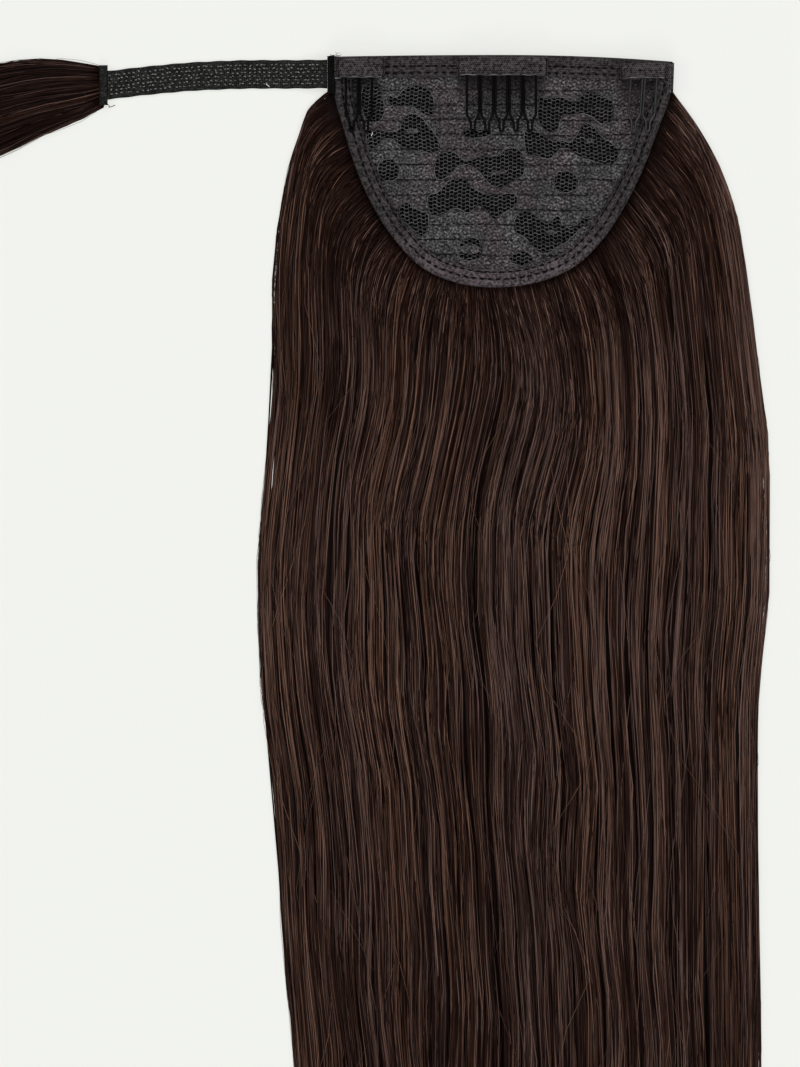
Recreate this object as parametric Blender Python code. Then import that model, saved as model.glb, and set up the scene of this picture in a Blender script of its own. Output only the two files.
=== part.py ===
"""Ponytail hairpiece, lying on a surface with the head side of its cap up.

Metres, +Z up. The band end of the cap points to +Y and the hair falls towards -Y.
The origin is on the surface, under the middle of the cap.
Every piece of the cap follows one curved ground, the top of the hair under it.
"""

import math
from typing import NamedTuple

import bmesh
import bpy
import numpy as np


# Cap, seen from above
CAP_HALF_WIDTH = 0.0592
BAND_TOP_MIDDLE = 0.0408
BAND_TOP_LEFT = 0.0403
BAND_TOP_RIGHT = 0.0385
BAND_WIDTH = 0.0070
BINDING_WIDTH = 0.0056

# Layers of the cap, each counted up from the hair
TAPE = 0.0010
LACE = 0.0010
GAP = 0.0003
BINDING_LOW = GAP
BINDING_SLOT_LOW = BINDING_LOW + TAPE
LACE_LOW = BINDING_SLOT_LOW + GAP
LACE_HIGH = LACE_LOW + LACE
BINDING_SLOT_HIGH = LACE_HIGH + GAP
BINDING_HIGH = BINDING_SLOT_HIGH + TAPE

# Wire combs and the tapes over their tops
WIRE = 0.0007
WIRE_LIFT = BINDING_HIGH + GAP + WIRE / 2
TOOTH_WIDTH = 0.0041
TOOTH_PITCH = 0.0050
TOOTH_NECK = 0.0013
COMB_TOP = 0.0372
COMB_BEND_Y = 0.0318
SHOULDER_Y = 0.0200
NECK_Y = 0.0176
TIP_Y = 0.0139
COVER_LIFT = WIRE_LIFT + WIRE / 2 + GAP
COVER_END = 0.0012

# Weft rows sewn under the lace
WEFT_ROWS = 12
WEFT_FIRST_Y = 0.0287
WEFT_PITCH = 0.0053
WEFT_WIDTH = 0.0020

# Hook strap, its end seam and the tack at the band
STRAP_WIDTH = 0.0100
STRAP_THICK = 0.0016
SEAM_LEFT, SEAM_RIGHT = -0.1421, -0.1390
SEAM_LOW_Y, SEAM_HIGH_Y = 0.0238, 0.0378
SEAM_HEIGHT = 0.0034
TACK_LEFT, TACK_RIGHT = -0.0616, -0.0595
TACK_LOW_Y, TACK_HIGH_Y = 0.0279, 0.0409
TACK_LOW_Z, TACK_HIGH_Z = 0.0016, 0.0056

# Hair
HAIR_EDGE = 0.0010
CROWN_POWER = 2.6
LOCKS = 7
LOCK_DEPTH = 0.0009
LOCK_START_Y = -0.0480
LOCK_FULL_Y = -0.0900


class HairSection(NamedTuple):
    """One crossing of the hair, at y."""

    y: float
    left: float
    right: float
    thick: float


class CapSection(NamedTuple):
    """One crossing of the cap's bound edge, at y."""

    y: float
    left: float
    right: float


class StrandSection(NamedTuple):
    """One crossing of the wrap strand, at x."""

    x: float
    middle: float
    width: float
    thick: float


class StrapSection(NamedTuple):
    """One crossing of the hook strap, at x, with the height of its underside."""

    x: float
    middle: float
    lift: float


class Comb(NamedTuple):
    """A wire comb and the tape over it."""

    name: str
    first_tooth: float
    teeth: int
    lean: float
    cover_left: float
    cover_right: float
    cover_low_y: float


HAIR_TABLE = (
    HairSection(0.0388, -0.0572, 0.0566, 0.0022),
    HairSection(0.0310, -0.0580, 0.0572, 0.0022),
    HairSection(0.0270, -0.0630, 0.0595, 0.0027),
    HairSection(0.0217, -0.0682, 0.0634, 0.0038),
    HairSection(0.0147, -0.0707, 0.0682, 0.0055),
    HairSection(0.0007, -0.0756, 0.0760, 0.0088),
    HairSection(-0.0168, -0.0791, 0.0819, 0.0120),
    HairSection(-0.0448, -0.0812, 0.0861, 0.0146),
    HairSection(-0.0728, -0.0805, 0.0896, 0.0150),
    HairSection(-0.1008, -0.0833, 0.0928, 0.0146),
    HairSection(-0.1428, -0.0862, 0.0928, 0.0138),
    HairSection(-0.1848, -0.0847, 0.0889, 0.0128),
    HairSection(-0.2128, -0.0808, 0.0886, 0.0122),
    HairSection(-0.2688, -0.0774, 0.0893, 0.0108),
    HairSection(-0.3108, -0.0735, 0.0900, 0.0098),
    HairSection(-0.3700, -0.0700, 0.0860, 0.0080),
    HairSection(-0.4200, -0.0650, 0.0800, 0.0062),
    HairSection(-0.4500, -0.0570, 0.0720, 0.0046),
    HairSection(-0.4620, -0.0460, 0.0620, 0.0034),
    HairSection(-0.4680, -0.0300, 0.0470, 0.0020),
)

CAP_TABLE = (
    CapSection(0.0330, -0.0592, 0.0590),
    CapSection(0.0265, -0.0588, 0.0578),
    CapSection(0.0160, -0.0560, 0.0540),
    CapSection(0.0020, -0.0517, 0.0487),
    CapSection(-0.0120, -0.0455, 0.0418),
    CapSection(-0.0240, -0.0377, 0.0338),
    CapSection(-0.0335, -0.0283, 0.0236),
    CapSection(-0.0388, -0.0160, 0.0102),
)
CAP_LOWEST = (-0.0030, -0.0403)

STRAP_TABLE = (
    StrapSection(-0.0619, 0.0346, 0.0022),
    StrapSection(-0.0660, 0.0346, 0.0016),
    StrapSection(-0.0720, 0.0346, 0.0005),
    StrapSection(-0.0770, 0.0346, 0.0000),
    StrapSection(-0.0860, 0.0346, 0.0000),
    StrapSection(-0.1060, 0.0340, 0.0000),
    StrapSection(-0.1240, 0.0325, 0.0000),
    StrapSection(-0.1387, 0.0308, 0.0000),
)

STRAND_TABLE = (
    StrandSection(-0.1424, 0.0302, 0.0140, 0.0034),
    StrandSection(-0.1484, 0.0286, 0.0196, 0.0052),
    StrandSection(-0.1589, 0.0272, 0.0248, 0.0070),
    StrandSection(-0.1764, 0.0226, 0.0318, 0.0085),
    StrandSection(-0.2000, 0.0150, 0.0335, 0.0088),
    StrandSection(-0.2300, 0.0042, 0.0300, 0.0078),
    StrandSection(-0.2600, -0.0078, 0.0235, 0.0062),
    StrandSection(-0.2900, -0.0200, 0.0155, 0.0045),
    StrandSection(-0.3120, -0.0290, 0.0085, 0.0030),
    StrandSection(-0.3220, -0.0330, 0.0040, 0.0020),
)

COMBS = (
    Comb("left", -0.0533, 2, 0.0000, -0.0586, -0.0417, 0.0333),
    Comb("center", -0.0109, 5, 0.0000, -0.0165, 0.0155, 0.0340),
    Comb("right", 0.0468, 2, -0.0016, 0.0406, 0.0573, 0.0330),
)


# Smooth curves through the tables


def through(at, known, values):
    """Values at the places `at`, on a smooth curve that doesn't overshoot its points."""
    known = np.asarray(known, float)
    values = np.asarray(values, float)
    if known[0] > known[-1]:
        known, values = known[::-1], values[::-1]
    at = np.clip(np.asarray(at, float), known[0], known[-1])
    step = np.diff(known)
    rise = np.diff(values) / step
    slope = np.zeros_like(values)
    same_way = rise[:-1] * rise[1:] > 0
    total = np.where(same_way, rise[:-1] + rise[1:], 1.0)
    slope[1:-1] = np.where(same_way, 2 * rise[:-1] * rise[1:] / total, 0.0)
    slope[0], slope[-1] = rise[0], rise[-1]
    k = np.clip(np.searchsorted(known, at) - 1, 0, len(step) - 1)
    t = (at - known[k]) / step[k]
    return (
        values[k] * (1 + 2 * t) * (1 - t) ** 2
        + slope[k] * step[k] * t * (1 - t) ** 2
        + values[k + 1] * t * t * (3 - 2 * t)
        - slope[k + 1] * step[k] * t * t * (1 - t)
    )


def column(table, name):
    return [getattr(row, name) for row in table]


def eased(value, start, full):
    """0 at start, 1 at full, with soft ends."""
    t = np.clip((value - start) / (full - start), 0.0, 1.0)
    return t * t * (3 - 2 * t)


def hair_side(y):
    """The hair's left and right edges at y."""
    ys = column(HAIR_TABLE, "y")
    return through(y, ys, column(HAIR_TABLE, "left")), through(y, ys, column(HAIR_TABLE, "right"))


def hair_top(x, y):
    """Height of the hair's upper side: a low crown, with shallow locks below the cap."""
    left, right = hair_side(y)
    thick = through(y, column(HAIR_TABLE, "y"), column(HAIR_TABLE, "thick"))
    side = np.clip((x - (left + right) / 2) / ((right - left) / 2), -1.0, 1.0)
    crown = HAIR_EDGE + (thick - HAIR_EDGE) * (1 - np.abs(side) ** CROWN_POWER)
    wander = 0.5 * np.sin(y * 26.0) + 0.9 * np.sin(side * 2.3 + 0.8)
    lock = 0.5 - 0.5 * np.cos(math.pi * LOCKS * side + wander)
    depth = LOCK_DEPTH * eased(y, LOCK_START_Y, LOCK_FULL_Y) * (1 - side**2)
    return crown - depth * lock * np.clip(thick / 0.010, 0.0, 1.0)


def band_top(x):
    """The cap's upper edge: a shallow arc through its left end, middle and right end."""
    t = x / CAP_HALF_WIDTH
    end = np.where(t < 0, BAND_TOP_LEFT, BAND_TOP_RIGHT)
    return BAND_TOP_MIDDLE + (end - BAND_TOP_MIDDLE) * t * t


def bound_edge(count):
    """Points along the cap's U shaped edge, from its upper left end to its upper right end."""
    left = [(row.left, row.y) for row in CAP_TABLE]
    right = [(row.right, row.y) for row in reversed(CAP_TABLE)]
    knots = np.array(left + [CAP_LOWEST] + right)
    along = np.concatenate([[0.0], np.cumsum(np.linalg.norm(np.diff(knots, axis=0), axis=1))])
    tangent = np.gradient(knots, along, axis=0)
    at = np.linspace(0.0, along[-1], count)
    k = np.clip(np.searchsorted(along, at) - 1, 0, len(along) - 2)
    span = (along[k + 1] - along[k])[:, None]
    t = (at - along[k])[:, None] / span
    return (
        knots[k] * (1 + 2 * t) * (1 - t) ** 2
        + tangent[k] * span * t * (1 - t) ** 2
        + knots[k + 1] * t * t * (3 - 2 * t)
        - tangent[k + 1] * span * t * t * (1 - t)
    )


def inward(path):
    """Unit vectors from the U shaped edge towards the middle of the cap."""
    along = np.gradient(path, axis=0)
    along /= np.linalg.norm(along, axis=1)[:, None]
    return np.stack([-along[:, 1], along[:, 0]], axis=1)


# Making solids


def material(name, colour, roughness, metallic=0.0):
    made = bpy.data.materials.new(name)
    made.use_nodes = True
    shader = made.node_tree.nodes["Principled BSDF"]
    shader.inputs["Base Color"].default_value = (*colour, 1.0)
    shader.inputs["Roughness"].default_value = roughness
    shader.inputs["Metallic"].default_value = metallic
    return made


def add_object(name, data, finish, smooth=False):
    piece = bpy.data.objects.new(name, data)
    bpy.context.collection.objects.link(piece)
    data.materials.append(finish)
    if smooth:
        data.shade_smooth()
        data.set_sharp_from_angle(angle=math.radians(40))
    return piece


def mesh_of(name, points, faces):
    mesh = bpy.data.meshes.new(name)
    mesh.from_pydata([tuple(p) for p in points], [], faces)
    shaped = bmesh.new()
    shaped.from_mesh(mesh)
    bmesh.ops.recalc_face_normals(shaped, faces=shaped.faces)
    shaped.to_mesh(mesh)
    shaped.free()
    return mesh


def slab(name, x, y, low, high, finish, smooth=False):
    """A closed sheet between two heights, on a grid of places x and y."""
    rows, columns = x.shape
    count = rows * columns
    upper = np.stack([x, y, high], axis=2).reshape(-1, 3)
    lower = np.stack([x, y, low], axis=2).reshape(-1, 3)
    index = np.arange(count).reshape(rows, columns)
    faces = []
    for i in range(rows - 1):
        for j in range(columns - 1):
            quad = (index[i, j], index[i, j + 1], index[i + 1, j + 1], index[i + 1, j])
            faces.append(quad)
            faces.append(tuple(q + count for q in reversed(quad)))
    rim = [*index[0, :-1], *index[:-1, -1], *index[-1, :0:-1], *index[:0:-1, 0]]
    for here, there in zip(rim, rim[1:] + rim[:1]):
        faces.append((here, here + count, there + count, there))
    return add_object(name, mesh_of(name, np.vstack([upper, lower]), faces), finish, smooth)


def swept(name, rings, finish):
    """A closed solid through rings of points, flat at both ends."""
    sections, around, _ = rings.shape
    faces = []
    for i in range(sections - 1):
        for j in range(around):
            a, b = i * around + j, i * around + (j + 1) % around
            faces.append((a, b, b + around, a + around))
    last = (sections - 1) * around
    faces.append(tuple(reversed(range(around))))
    faces.append(tuple(range(last, last + around)))
    return add_object(name, mesh_of(name, rings.reshape(-1, 3), faces), finish)


def folded_tape(name, edge, into, width, finish):
    """A tape folded round the lace's edge: a C in section, open towards the lace."""
    section = (
        (0.0, BINDING_LOW),
        (0.0, BINDING_HIGH),
        (width, BINDING_HIGH),
        (width, BINDING_SLOT_HIGH),
        (TAPE, BINDING_SLOT_HIGH),
        (TAPE, BINDING_SLOT_LOW),
        (width, BINDING_SLOT_LOW),
        (width, BINDING_LOW),
    )
    rings = []
    for across, lift in section:
        place = edge + into * across
        height = hair_top(place[:, 0], place[:, 1]) + lift
        rings.append(np.column_stack([place, height]))
    return swept(name, np.stack(rings, axis=1), finish)


# The pieces


def make_lace(finish):
    edge = bound_edge(35)
    edge = edge + inward(edge) * (TAPE + GAP)
    x = edge[:, 0]
    top = band_top(x) - TAPE - GAP
    share = np.linspace(0.0, 1.0, 10)[:, None]
    y = edge[:, 1] * (1 - share) + top * share
    x = np.broadcast_to(x, y.shape)
    ground = hair_top(x, y)
    return slab("lace_base", x, y, ground + LACE_LOW, ground + LACE_HIGH, finish)


def make_binding(finish):
    edge = bound_edge(49)
    start = BAND_TOP_RIGHT - BAND_WIDTH - 3 * GAP
    edge = edge[edge[:, 1] < start]
    return folded_tape("edge_binding", edge, inward(edge), BINDING_WIDTH, finish)


def make_band(finish):
    x = np.linspace(-CAP_HALF_WIDTH, CAP_HALF_WIDTH, 19)
    edge = np.column_stack([x, band_top(x)])
    into = np.broadcast_to([0.0, -1.0], edge.shape)
    return folded_tape("top_band", edge, into, BAND_WIDTH, finish)


def make_wefts(finish):
    edge = bound_edge(161)
    edge = edge + inward(edge) * (BINDING_WIDTH + GAP)
    middle = int(np.argmin(edge[:, 1]))
    for row in range(WEFT_ROWS):
        at = WEFT_FIRST_Y - row * WEFT_PITCH
        lower = at - WEFT_WIDTH
        left = np.interp(-lower, -edge[: middle + 1, 1], edge[: middle + 1, 0])
        right = np.interp(lower, edge[middle:, 1], edge[middle:, 0])
        along = np.linspace(left + GAP, right - GAP, 9)
        x, y = np.meshgrid(along, [lower, at])
        ground = hair_top(x, y)
        slab(f"weft_row_{row + 1}", x, y, ground + GAP, ground + GAP + TAPE, finish)


def comb_route(comb):
    """The wire's path: down one side of a tooth, round its tip, up, and on to the next."""
    route = []
    half, neck, between = TOOTH_WIDTH / 2, TOOTH_NECK / 2, TOOTH_PITCH - TOOTH_WIDTH
    turn = np.radians([45, 90, 135])
    for tooth in range(comb.teeth):
        middle = comb.first_tooth + tooth * TOOTH_PITCH
        route.append((middle - half, COMB_TOP))
        route.append((middle - half, COMB_BEND_Y))
        route.append((middle - half, SHOULDER_Y))
        route.append((middle - neck, NECK_Y))
        route.append((middle - neck, TIP_Y + neck))
        route += [(middle - neck * math.cos(a), TIP_Y + neck - neck * math.sin(a)) for a in turn]
        route.append((middle + neck, TIP_Y + neck))
        route.append((middle + neck, NECK_Y))
        route.append((middle + half, SHOULDER_Y))
        route.append((middle + half, COMB_BEND_Y))
        route.append((middle + half, COMB_TOP))
        if tooth < comb.teeth - 1:
            bend, centre = between / 2, middle + half + between / 2
            route += [(centre - bend * math.cos(a), COMB_TOP + bend * math.sin(a)) for a in turn]
    route = np.array(route)
    down = (COMB_TOP - route[:, 1]) / (COMB_TOP - TIP_Y)
    route[:, 0] += comb.lean * down
    height = hair_top(route[:, 0], route[:, 1]) + WIRE_LIFT
    return np.column_stack([route, height])


def make_comb(comb, finish):
    route = comb_route(comb)
    curve = bpy.data.curves.new(f"comb_{comb.name}", "CURVE")
    curve.dimensions = "3D"
    curve.bevel_depth = WIRE / 2
    curve.bevel_resolution = 1
    curve.use_fill_caps = True
    spline = curve.splines.new("POLY")
    spline.points.add(len(route) - 1)
    for point, place in zip(spline.points, route):
        point.co = (*place, 1.0)
    return add_object(f"comb_{comb.name}", curve, finish)


def make_cover(comb, finish):
    """A short tape over a comb's top, level in the middle and sewn down at its ends."""
    left, right = comb.cover_left, comb.cover_right
    upper_y = float(band_top(np.array([left, right])).min()) - GAP
    under = np.meshgrid(np.linspace(left, right, 9), np.linspace(comb.cover_low_y, upper_y, 5))
    ground = float(hair_top(*under).max())
    x, y = np.meshgrid([left, left + COVER_END, right - COVER_END, right], [comb.cover_low_y, upper_y])
    low = np.full(x.shape, ground + COVER_LIFT)
    low[:, [0, -1]] = ground + BINDING_HIGH + GAP
    return slab(f"comb_cover_{comb.name}", x, y, low, low + TAPE, finish)


def make_strap(finish):
    x = np.linspace(STRAP_TABLE[0].x, STRAP_TABLE[-1].x, 21)
    known = column(STRAP_TABLE, "x")
    middle = through(x, known, column(STRAP_TABLE, "middle"))
    lift = through(x, known, column(STRAP_TABLE, "lift"))
    lift = np.where(x < STRAP_TABLE[3].x + 1e-6, 0.0, lift)
    across = np.array([-0.5, 0.5])[:, None] * STRAP_WIDTH
    y = middle + across
    x = np.broadcast_to(x, y.shape)
    low = np.broadcast_to(lift, y.shape)
    return slab("hook_strap", x, y, low, low + STRAP_THICK, finish)


def make_block(name, xs, ys, zs, bevel, finish):
    """A sewn block with its corners taken off."""
    x, y = np.meshgrid(np.array(xs), np.array(ys))
    block = slab(name, x, y, np.full(x.shape, zs[0]), np.full(x.shape, zs[1]), finish)
    softened = block.modifiers.new("corners", "BEVEL")
    softened.width = bevel
    softened.segments = 1
    return block


def make_strand(finish):
    x = np.linspace(STRAND_TABLE[0].x, STRAND_TABLE[-1].x, 25)
    known = column(STRAND_TABLE, "x")
    middle = through(x, known, column(STRAND_TABLE, "middle"))
    width = through(x, known, column(STRAND_TABLE, "width"))
    thick = through(x, known, column(STRAND_TABLE, "thick"))
    side = np.linspace(-1.0, 1.0, 11)[:, None]
    y = middle + side * width / 2
    high = HAIR_EDGE + (thick - HAIR_EDGE) * (1 - np.abs(side) ** CROWN_POWER)
    ridge = 0.5 - 0.5 * np.cos(math.pi * 4 * side + 30 * x)
    high = high - 0.0006 * ridge * (1 - side**2) * thick / 0.008
    x = np.broadcast_to(x, y.shape)
    return slab("wrap_strand", x, y, np.zeros(y.shape), high, finish, smooth=True)


def make_hair(finish):
    near_cap = np.linspace(HAIR_TABLE[0].y, -0.048, 19)
    free = np.linspace(-0.056, -0.450, 38)
    tips = np.linspace(-0.455, HAIR_TABLE[-1].y, 5)
    y = np.concatenate([near_cap, free, tips])
    left, right = hair_side(y)
    share = (0.5 - 0.5 * np.cos(np.linspace(0.0, math.pi, 31)))[:, None]
    share = 0.35 * share + 0.65 * np.linspace(0.0, 1.0, 31)[:, None]
    x = left * (1 - share) + right * share
    y = np.broadcast_to(y, x.shape)
    return slab("hair_fall", x, y, np.zeros(x.shape), hair_top(x, y), finish, smooth=True)


def main():
    for old in list(bpy.data.objects):
        bpy.data.objects.remove(old)
    hair = material("hair", (0.026, 0.015, 0.012), 0.42)
    lace = material("lace", (0.034, 0.033, 0.034), 0.80)
    tape = material("tape", (0.055, 0.045, 0.048), 0.78)
    wire = material("wire", (0.012, 0.012, 0.012), 0.35, metallic=0.6)
    hook = material("hook_tape", (0.020, 0.020, 0.020), 0.60)
    make_hair(hair)
    make_strand(hair)
    make_wefts(tape)
    make_lace(lace)
    make_binding(tape)
    make_band(tape)
    for comb in COMBS:
        make_comb(comb, wire)
        make_cover(comb, tape)
    make_strap(hook)
    seam_y, seam_x = (SEAM_LOW_Y, SEAM_HIGH_Y), (SEAM_LEFT, SEAM_RIGHT)
    make_block("strap_end_seam", seam_x, seam_y, (0.0, SEAM_HEIGHT), GAP, hook)
    tack_x, tack_y = (TACK_LEFT, TACK_RIGHT), (TACK_LOW_Y, TACK_HIGH_Y)
    make_block("strap_bartack", tack_x, tack_y, (TACK_LOW_Z, TACK_HIGH_Z), GAP, hook)


if __name__ == "__main__":
    main()
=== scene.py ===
"""Looks of a wrap-around ponytail hairpiece that lies flat with its cap's head side up.

Metres, +Z up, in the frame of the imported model: the cap's band points to +Y, the hair falls
towards -Y, and the origin is on the surface under the middle of the cap. Every layer of the cap
follows one curved ground, the top of the hair under it.
"""

from __future__ import annotations

import logging
import math
from dataclasses import dataclass
from enum import Enum
from typing import Any, Mapping, NamedTuple, Sequence

import bpy
import numpy as np
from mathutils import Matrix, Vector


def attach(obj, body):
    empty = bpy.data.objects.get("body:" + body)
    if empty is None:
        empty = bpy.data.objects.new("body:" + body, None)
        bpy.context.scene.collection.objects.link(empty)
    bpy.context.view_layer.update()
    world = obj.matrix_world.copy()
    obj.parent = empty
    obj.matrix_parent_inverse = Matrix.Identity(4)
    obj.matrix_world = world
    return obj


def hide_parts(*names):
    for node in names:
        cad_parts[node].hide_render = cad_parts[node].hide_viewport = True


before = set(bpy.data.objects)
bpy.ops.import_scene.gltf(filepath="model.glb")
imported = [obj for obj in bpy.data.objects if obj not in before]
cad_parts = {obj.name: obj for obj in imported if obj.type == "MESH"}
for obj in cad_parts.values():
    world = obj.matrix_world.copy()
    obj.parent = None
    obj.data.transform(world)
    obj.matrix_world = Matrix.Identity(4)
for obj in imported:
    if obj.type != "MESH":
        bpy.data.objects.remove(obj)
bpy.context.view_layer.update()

LOG = logging.getLogger("hairpiece")

Array = np.ndarray
Pair = tuple[Array, Array]
Colour = tuple[float, float, float]
Span = tuple[float, float]
Stops = tuple[tuple[float, Colour], ...]
Finish = bpy.types.Material
Finishes = Mapping[str, Finish]
Chance = np.random.Generator

BODY = "root"
STRAND_MAP = "OFBake"
CLOTH_MAP = "cloth"
MM = 0.001
TAU = 2 * math.pi
CREASE = math.radians(50)        # edges of cloth that turn more are shown sharp
CLEAR = 1.3        # least height of a strand above the floor, in its own radii


class Slot(Enum):
    """The record's material slots."""

    HAIR = "hair"
    LACE = "lace"
    TAPE = "tape"
    WIRE = "wire"
    HOOK_TAPE = "hook_tape"


class Facing(Enum):
    """Which side of the hair a sheet of strands lies on."""

    UP = "up"
    DOWN = "down"


# Curves


def cubic(values: Array, slopes: Array, k: Array, span: Array, t: Array) -> Array:
    """The cubic between points k and k + 1, from their values and slopes, at the share t of its span."""
    return (
        values[k] * (1 + 2 * t) * (1 - t) ** 2
        + slopes[k] * span * t * (1 - t) ** 2
        + values[k + 1] * t * t * (3 - 2 * t)
        - slopes[k + 1] * span * t * t * (1 - t)
    )


def through(at: Array, known: Sequence[float], values: Sequence[float]) -> Array:
    """A smooth curve through points that doesn't overshoot them.

    Cubic between neighbours, whose slope at a point is the harmonic mean of the rises beside it.

    Args:
        at: where the curve is wanted.
        known: places of the points, all rising or all falling.
        values: values at those places.

    Returns:
        The values at the wanted places.
    """
    known, values = np.asarray(known, float), np.asarray(values, float)
    if known[0] > known[-1]:
        known, values = known[::-1], values[::-1]
    at = np.clip(np.asarray(at, float), known[0], known[-1])
    step = np.diff(known)
    rise = np.diff(values) / step
    slope = np.zeros_like(values)
    same_way = rise[:-1] * rise[1:] > 0
    total = np.where(same_way, rise[:-1] + rise[1:], 1.0)
    slope[1:-1] = np.where(same_way, 2 * rise[:-1] * rise[1:] / total, 0.0)
    slope[0], slope[-1] = rise[0], rise[-1]
    k = np.clip(np.searchsorted(known, at) - 1, 0, len(step) - 1)
    t = (at - known[k]) / step[k]
    return cubic(values, slope, k, step[k], t)


def read_off(sections: Sequence[Any], at: Array, *names: str) -> tuple[Array, ...]:
    """Smooth curves through the named columns of a table, along its first column."""
    known = [section[0] for section in sections]
    return tuple(through(at, known, [getattr(section, name) for section in sections]) for name in names)


def table(kind: type, *rows: Sequence[float]) -> tuple:
    """The rows of a table, each as one of a kind."""
    return tuple(kind(*row) for row in rows)


def wave_along(at: Array, length: float | Array, turn: float | Array = 0.0) -> Array:
    """A sine with one wave each length, that starts at a turn."""
    return np.sin(TAU * at / length + turn)


def between(low: float, high: float, s: Array) -> Array:
    """Places from low to high as s goes from -1 to 1."""
    return (low + high) / 2 + s * (high - low) / 2


def xyz(x: Array | float, y: Array | float, z: Array | float) -> Array:
    """Points from their coordinates, spread to one shape."""
    return np.stack(np.broadcast_arrays(x, y, z), axis=-1)


def square(columns: int, rows: int) -> Pair:
    """A grid of pairs from -1 to 1."""
    return np.meshgrid(np.linspace(-1.0, 1.0, columns), np.linspace(-1.0, 1.0, rows))


def eased(value: Array | float, start: float, full: float) -> Array:
    """0 at start and 1 at full, with soft ends: 3t^2 - 2t^3."""
    t = np.clip((np.asarray(value, float) - start) / (full - start), 0.0, 1.0)
    return t * t * (3 - 2 * t)


def unit(vectors: Array) -> Array:
    """The vectors along the last axis, each made one long."""
    return vectors / np.maximum(np.linalg.norm(vectors, axis=-1, keepdims=True), 1e-12)


def scattered(count: int) -> Array:
    """Numbers from 0 to 1 that look unrelated, the same every time: the fraction of a large sine."""
    return np.mod(np.sin(np.arange(1, count + 1) * 12.9898) * 43758.5453, 1.0)


def along_of(path: Array) -> Array:
    """The distance of each point of a path from its start."""
    return np.concatenate([[0.0], np.cumsum(np.linalg.norm(np.diff(path, axis=0), axis=1))])


def spaced(path: Array, step: float) -> Array:
    """Points at equal steps along a path, its two ends included."""
    along = along_of(path)
    at = np.linspace(0.0, along[-1], max(2, int(round(along[-1] / step)) + 1))
    return np.stack([np.interp(at, along, path[:, axis]) for axis in range(path.shape[1])], axis=1)


def rounded(path: Array, passes: int) -> Array:
    """A path whose corners are worn round: each pass averages a point with its neighbours."""
    for _ in range(passes):
        inner = path[:-2] / 4 + path[1:-1] / 2 + path[2:] / 4
        path = np.vstack([path[:1], inner, path[-1:]])
    return path


# Surfaces, as whole arrays


@dataclass
class Surface:
    """Points, faces and a pair of numbers at each point, on the way to a mesh.

    The pair goes to the piece's UV map: a strand's tone and warmth, or a tape's millimetres along
    and across.
    """

    points: Array
    faces: list[Array]
    pairs: Array

    def outward(self) -> Surface:
        """This surface with its faces turned out, by the sign of the volume that they enclose."""
        volume = 0.0
        for quads in self.faces:
            first = self.points[quads[:, 0]]
            for k in range(1, quads.shape[1] - 1):
                turn = np.cross(self.points[quads[:, k]], self.points[quads[:, k + 1]])
                volume += float((first * turn).sum())
        if volume >= 0:
            return self
        return Surface(self.points, [quads[:, ::-1] for quads in self.faces], self.pairs)


def joined(surfaces: Sequence[Surface]) -> Surface:
    """Several surfaces as one."""
    starts = np.cumsum([0] + [len(surface.points) for surface in surfaces])
    faces = [quads + start for surface, start in zip(surfaces, starts) for quads in surface.faces]
    points = np.vstack([surface.points for surface in surfaces])
    return Surface(points, faces, np.vstack([surface.pairs for surface in surfaces]))


def grid_quads(rows: int, columns: int, ring: bool = False) -> Array:
    """Quads between the neighbouring rows and columns of a grid of points.

    Args:
        rows: how many rows the grid has.
        columns: how many points each row has.
        ring: whether each row closes on itself.

    Returns:
        Four point numbers a quad.
    """
    i = np.arange(rows - 1)[:, None] * columns
    j = np.arange(columns if ring else columns - 1)[None, :]
    beside = (j + 1) % columns
    quads = np.stack([i + j, i + beside, i + columns + beside, i + columns + j], axis=-1)
    return quads.reshape(-1, 4)


def sides_of(quads: Array) -> Array:
    """The four sides of each quad, as pairs of point numbers: all the first sides, then the second."""
    return np.concatenate([quads[:, [k, (k + 1) % 4]] for k in range(4)])


def slab(x: Array, y: Array, low: Array, high: Array, pairs: Pair | None = None) -> Surface:
    """A closed sheet between two heights over a grid of places, with a rim round it.

    Args:
        x: places of the grid's points.
        y: places of the grid's points.
        low: height of the underside at each point.
        high: height of the upper side at each point.
        pairs: pairs of the upper and the lower side, or millimetres of x and y where left out.

    Returns:
        The closed surface.
    """
    rows, columns = x.shape
    count = rows * columns
    upper, lower = xyz(x, y, high).reshape(-1, 3), xyz(x, y, low).reshape(-1, 3)
    if pairs is None:
        flat = np.stack([x, y], axis=2) / MM
        pairs = (flat, flat)
    quads = grid_quads(rows, columns)
    index = np.arange(count).reshape(rows, columns)
    rim = np.concatenate([index[0, :-1], index[:-1, -1], index[-1, :0:-1], index[:0:-1, 0]])
    after = np.roll(rim, -1)
    walls = np.stack([rim, rim + count, after + count, after], axis=1)
    points = np.vstack([upper, lower])
    marks = np.vstack([pair.reshape(-1, 2) for pair in pairs])
    return Surface(points, [quads, quads[:, ::-1] + count, walls], marks).outward()


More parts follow.
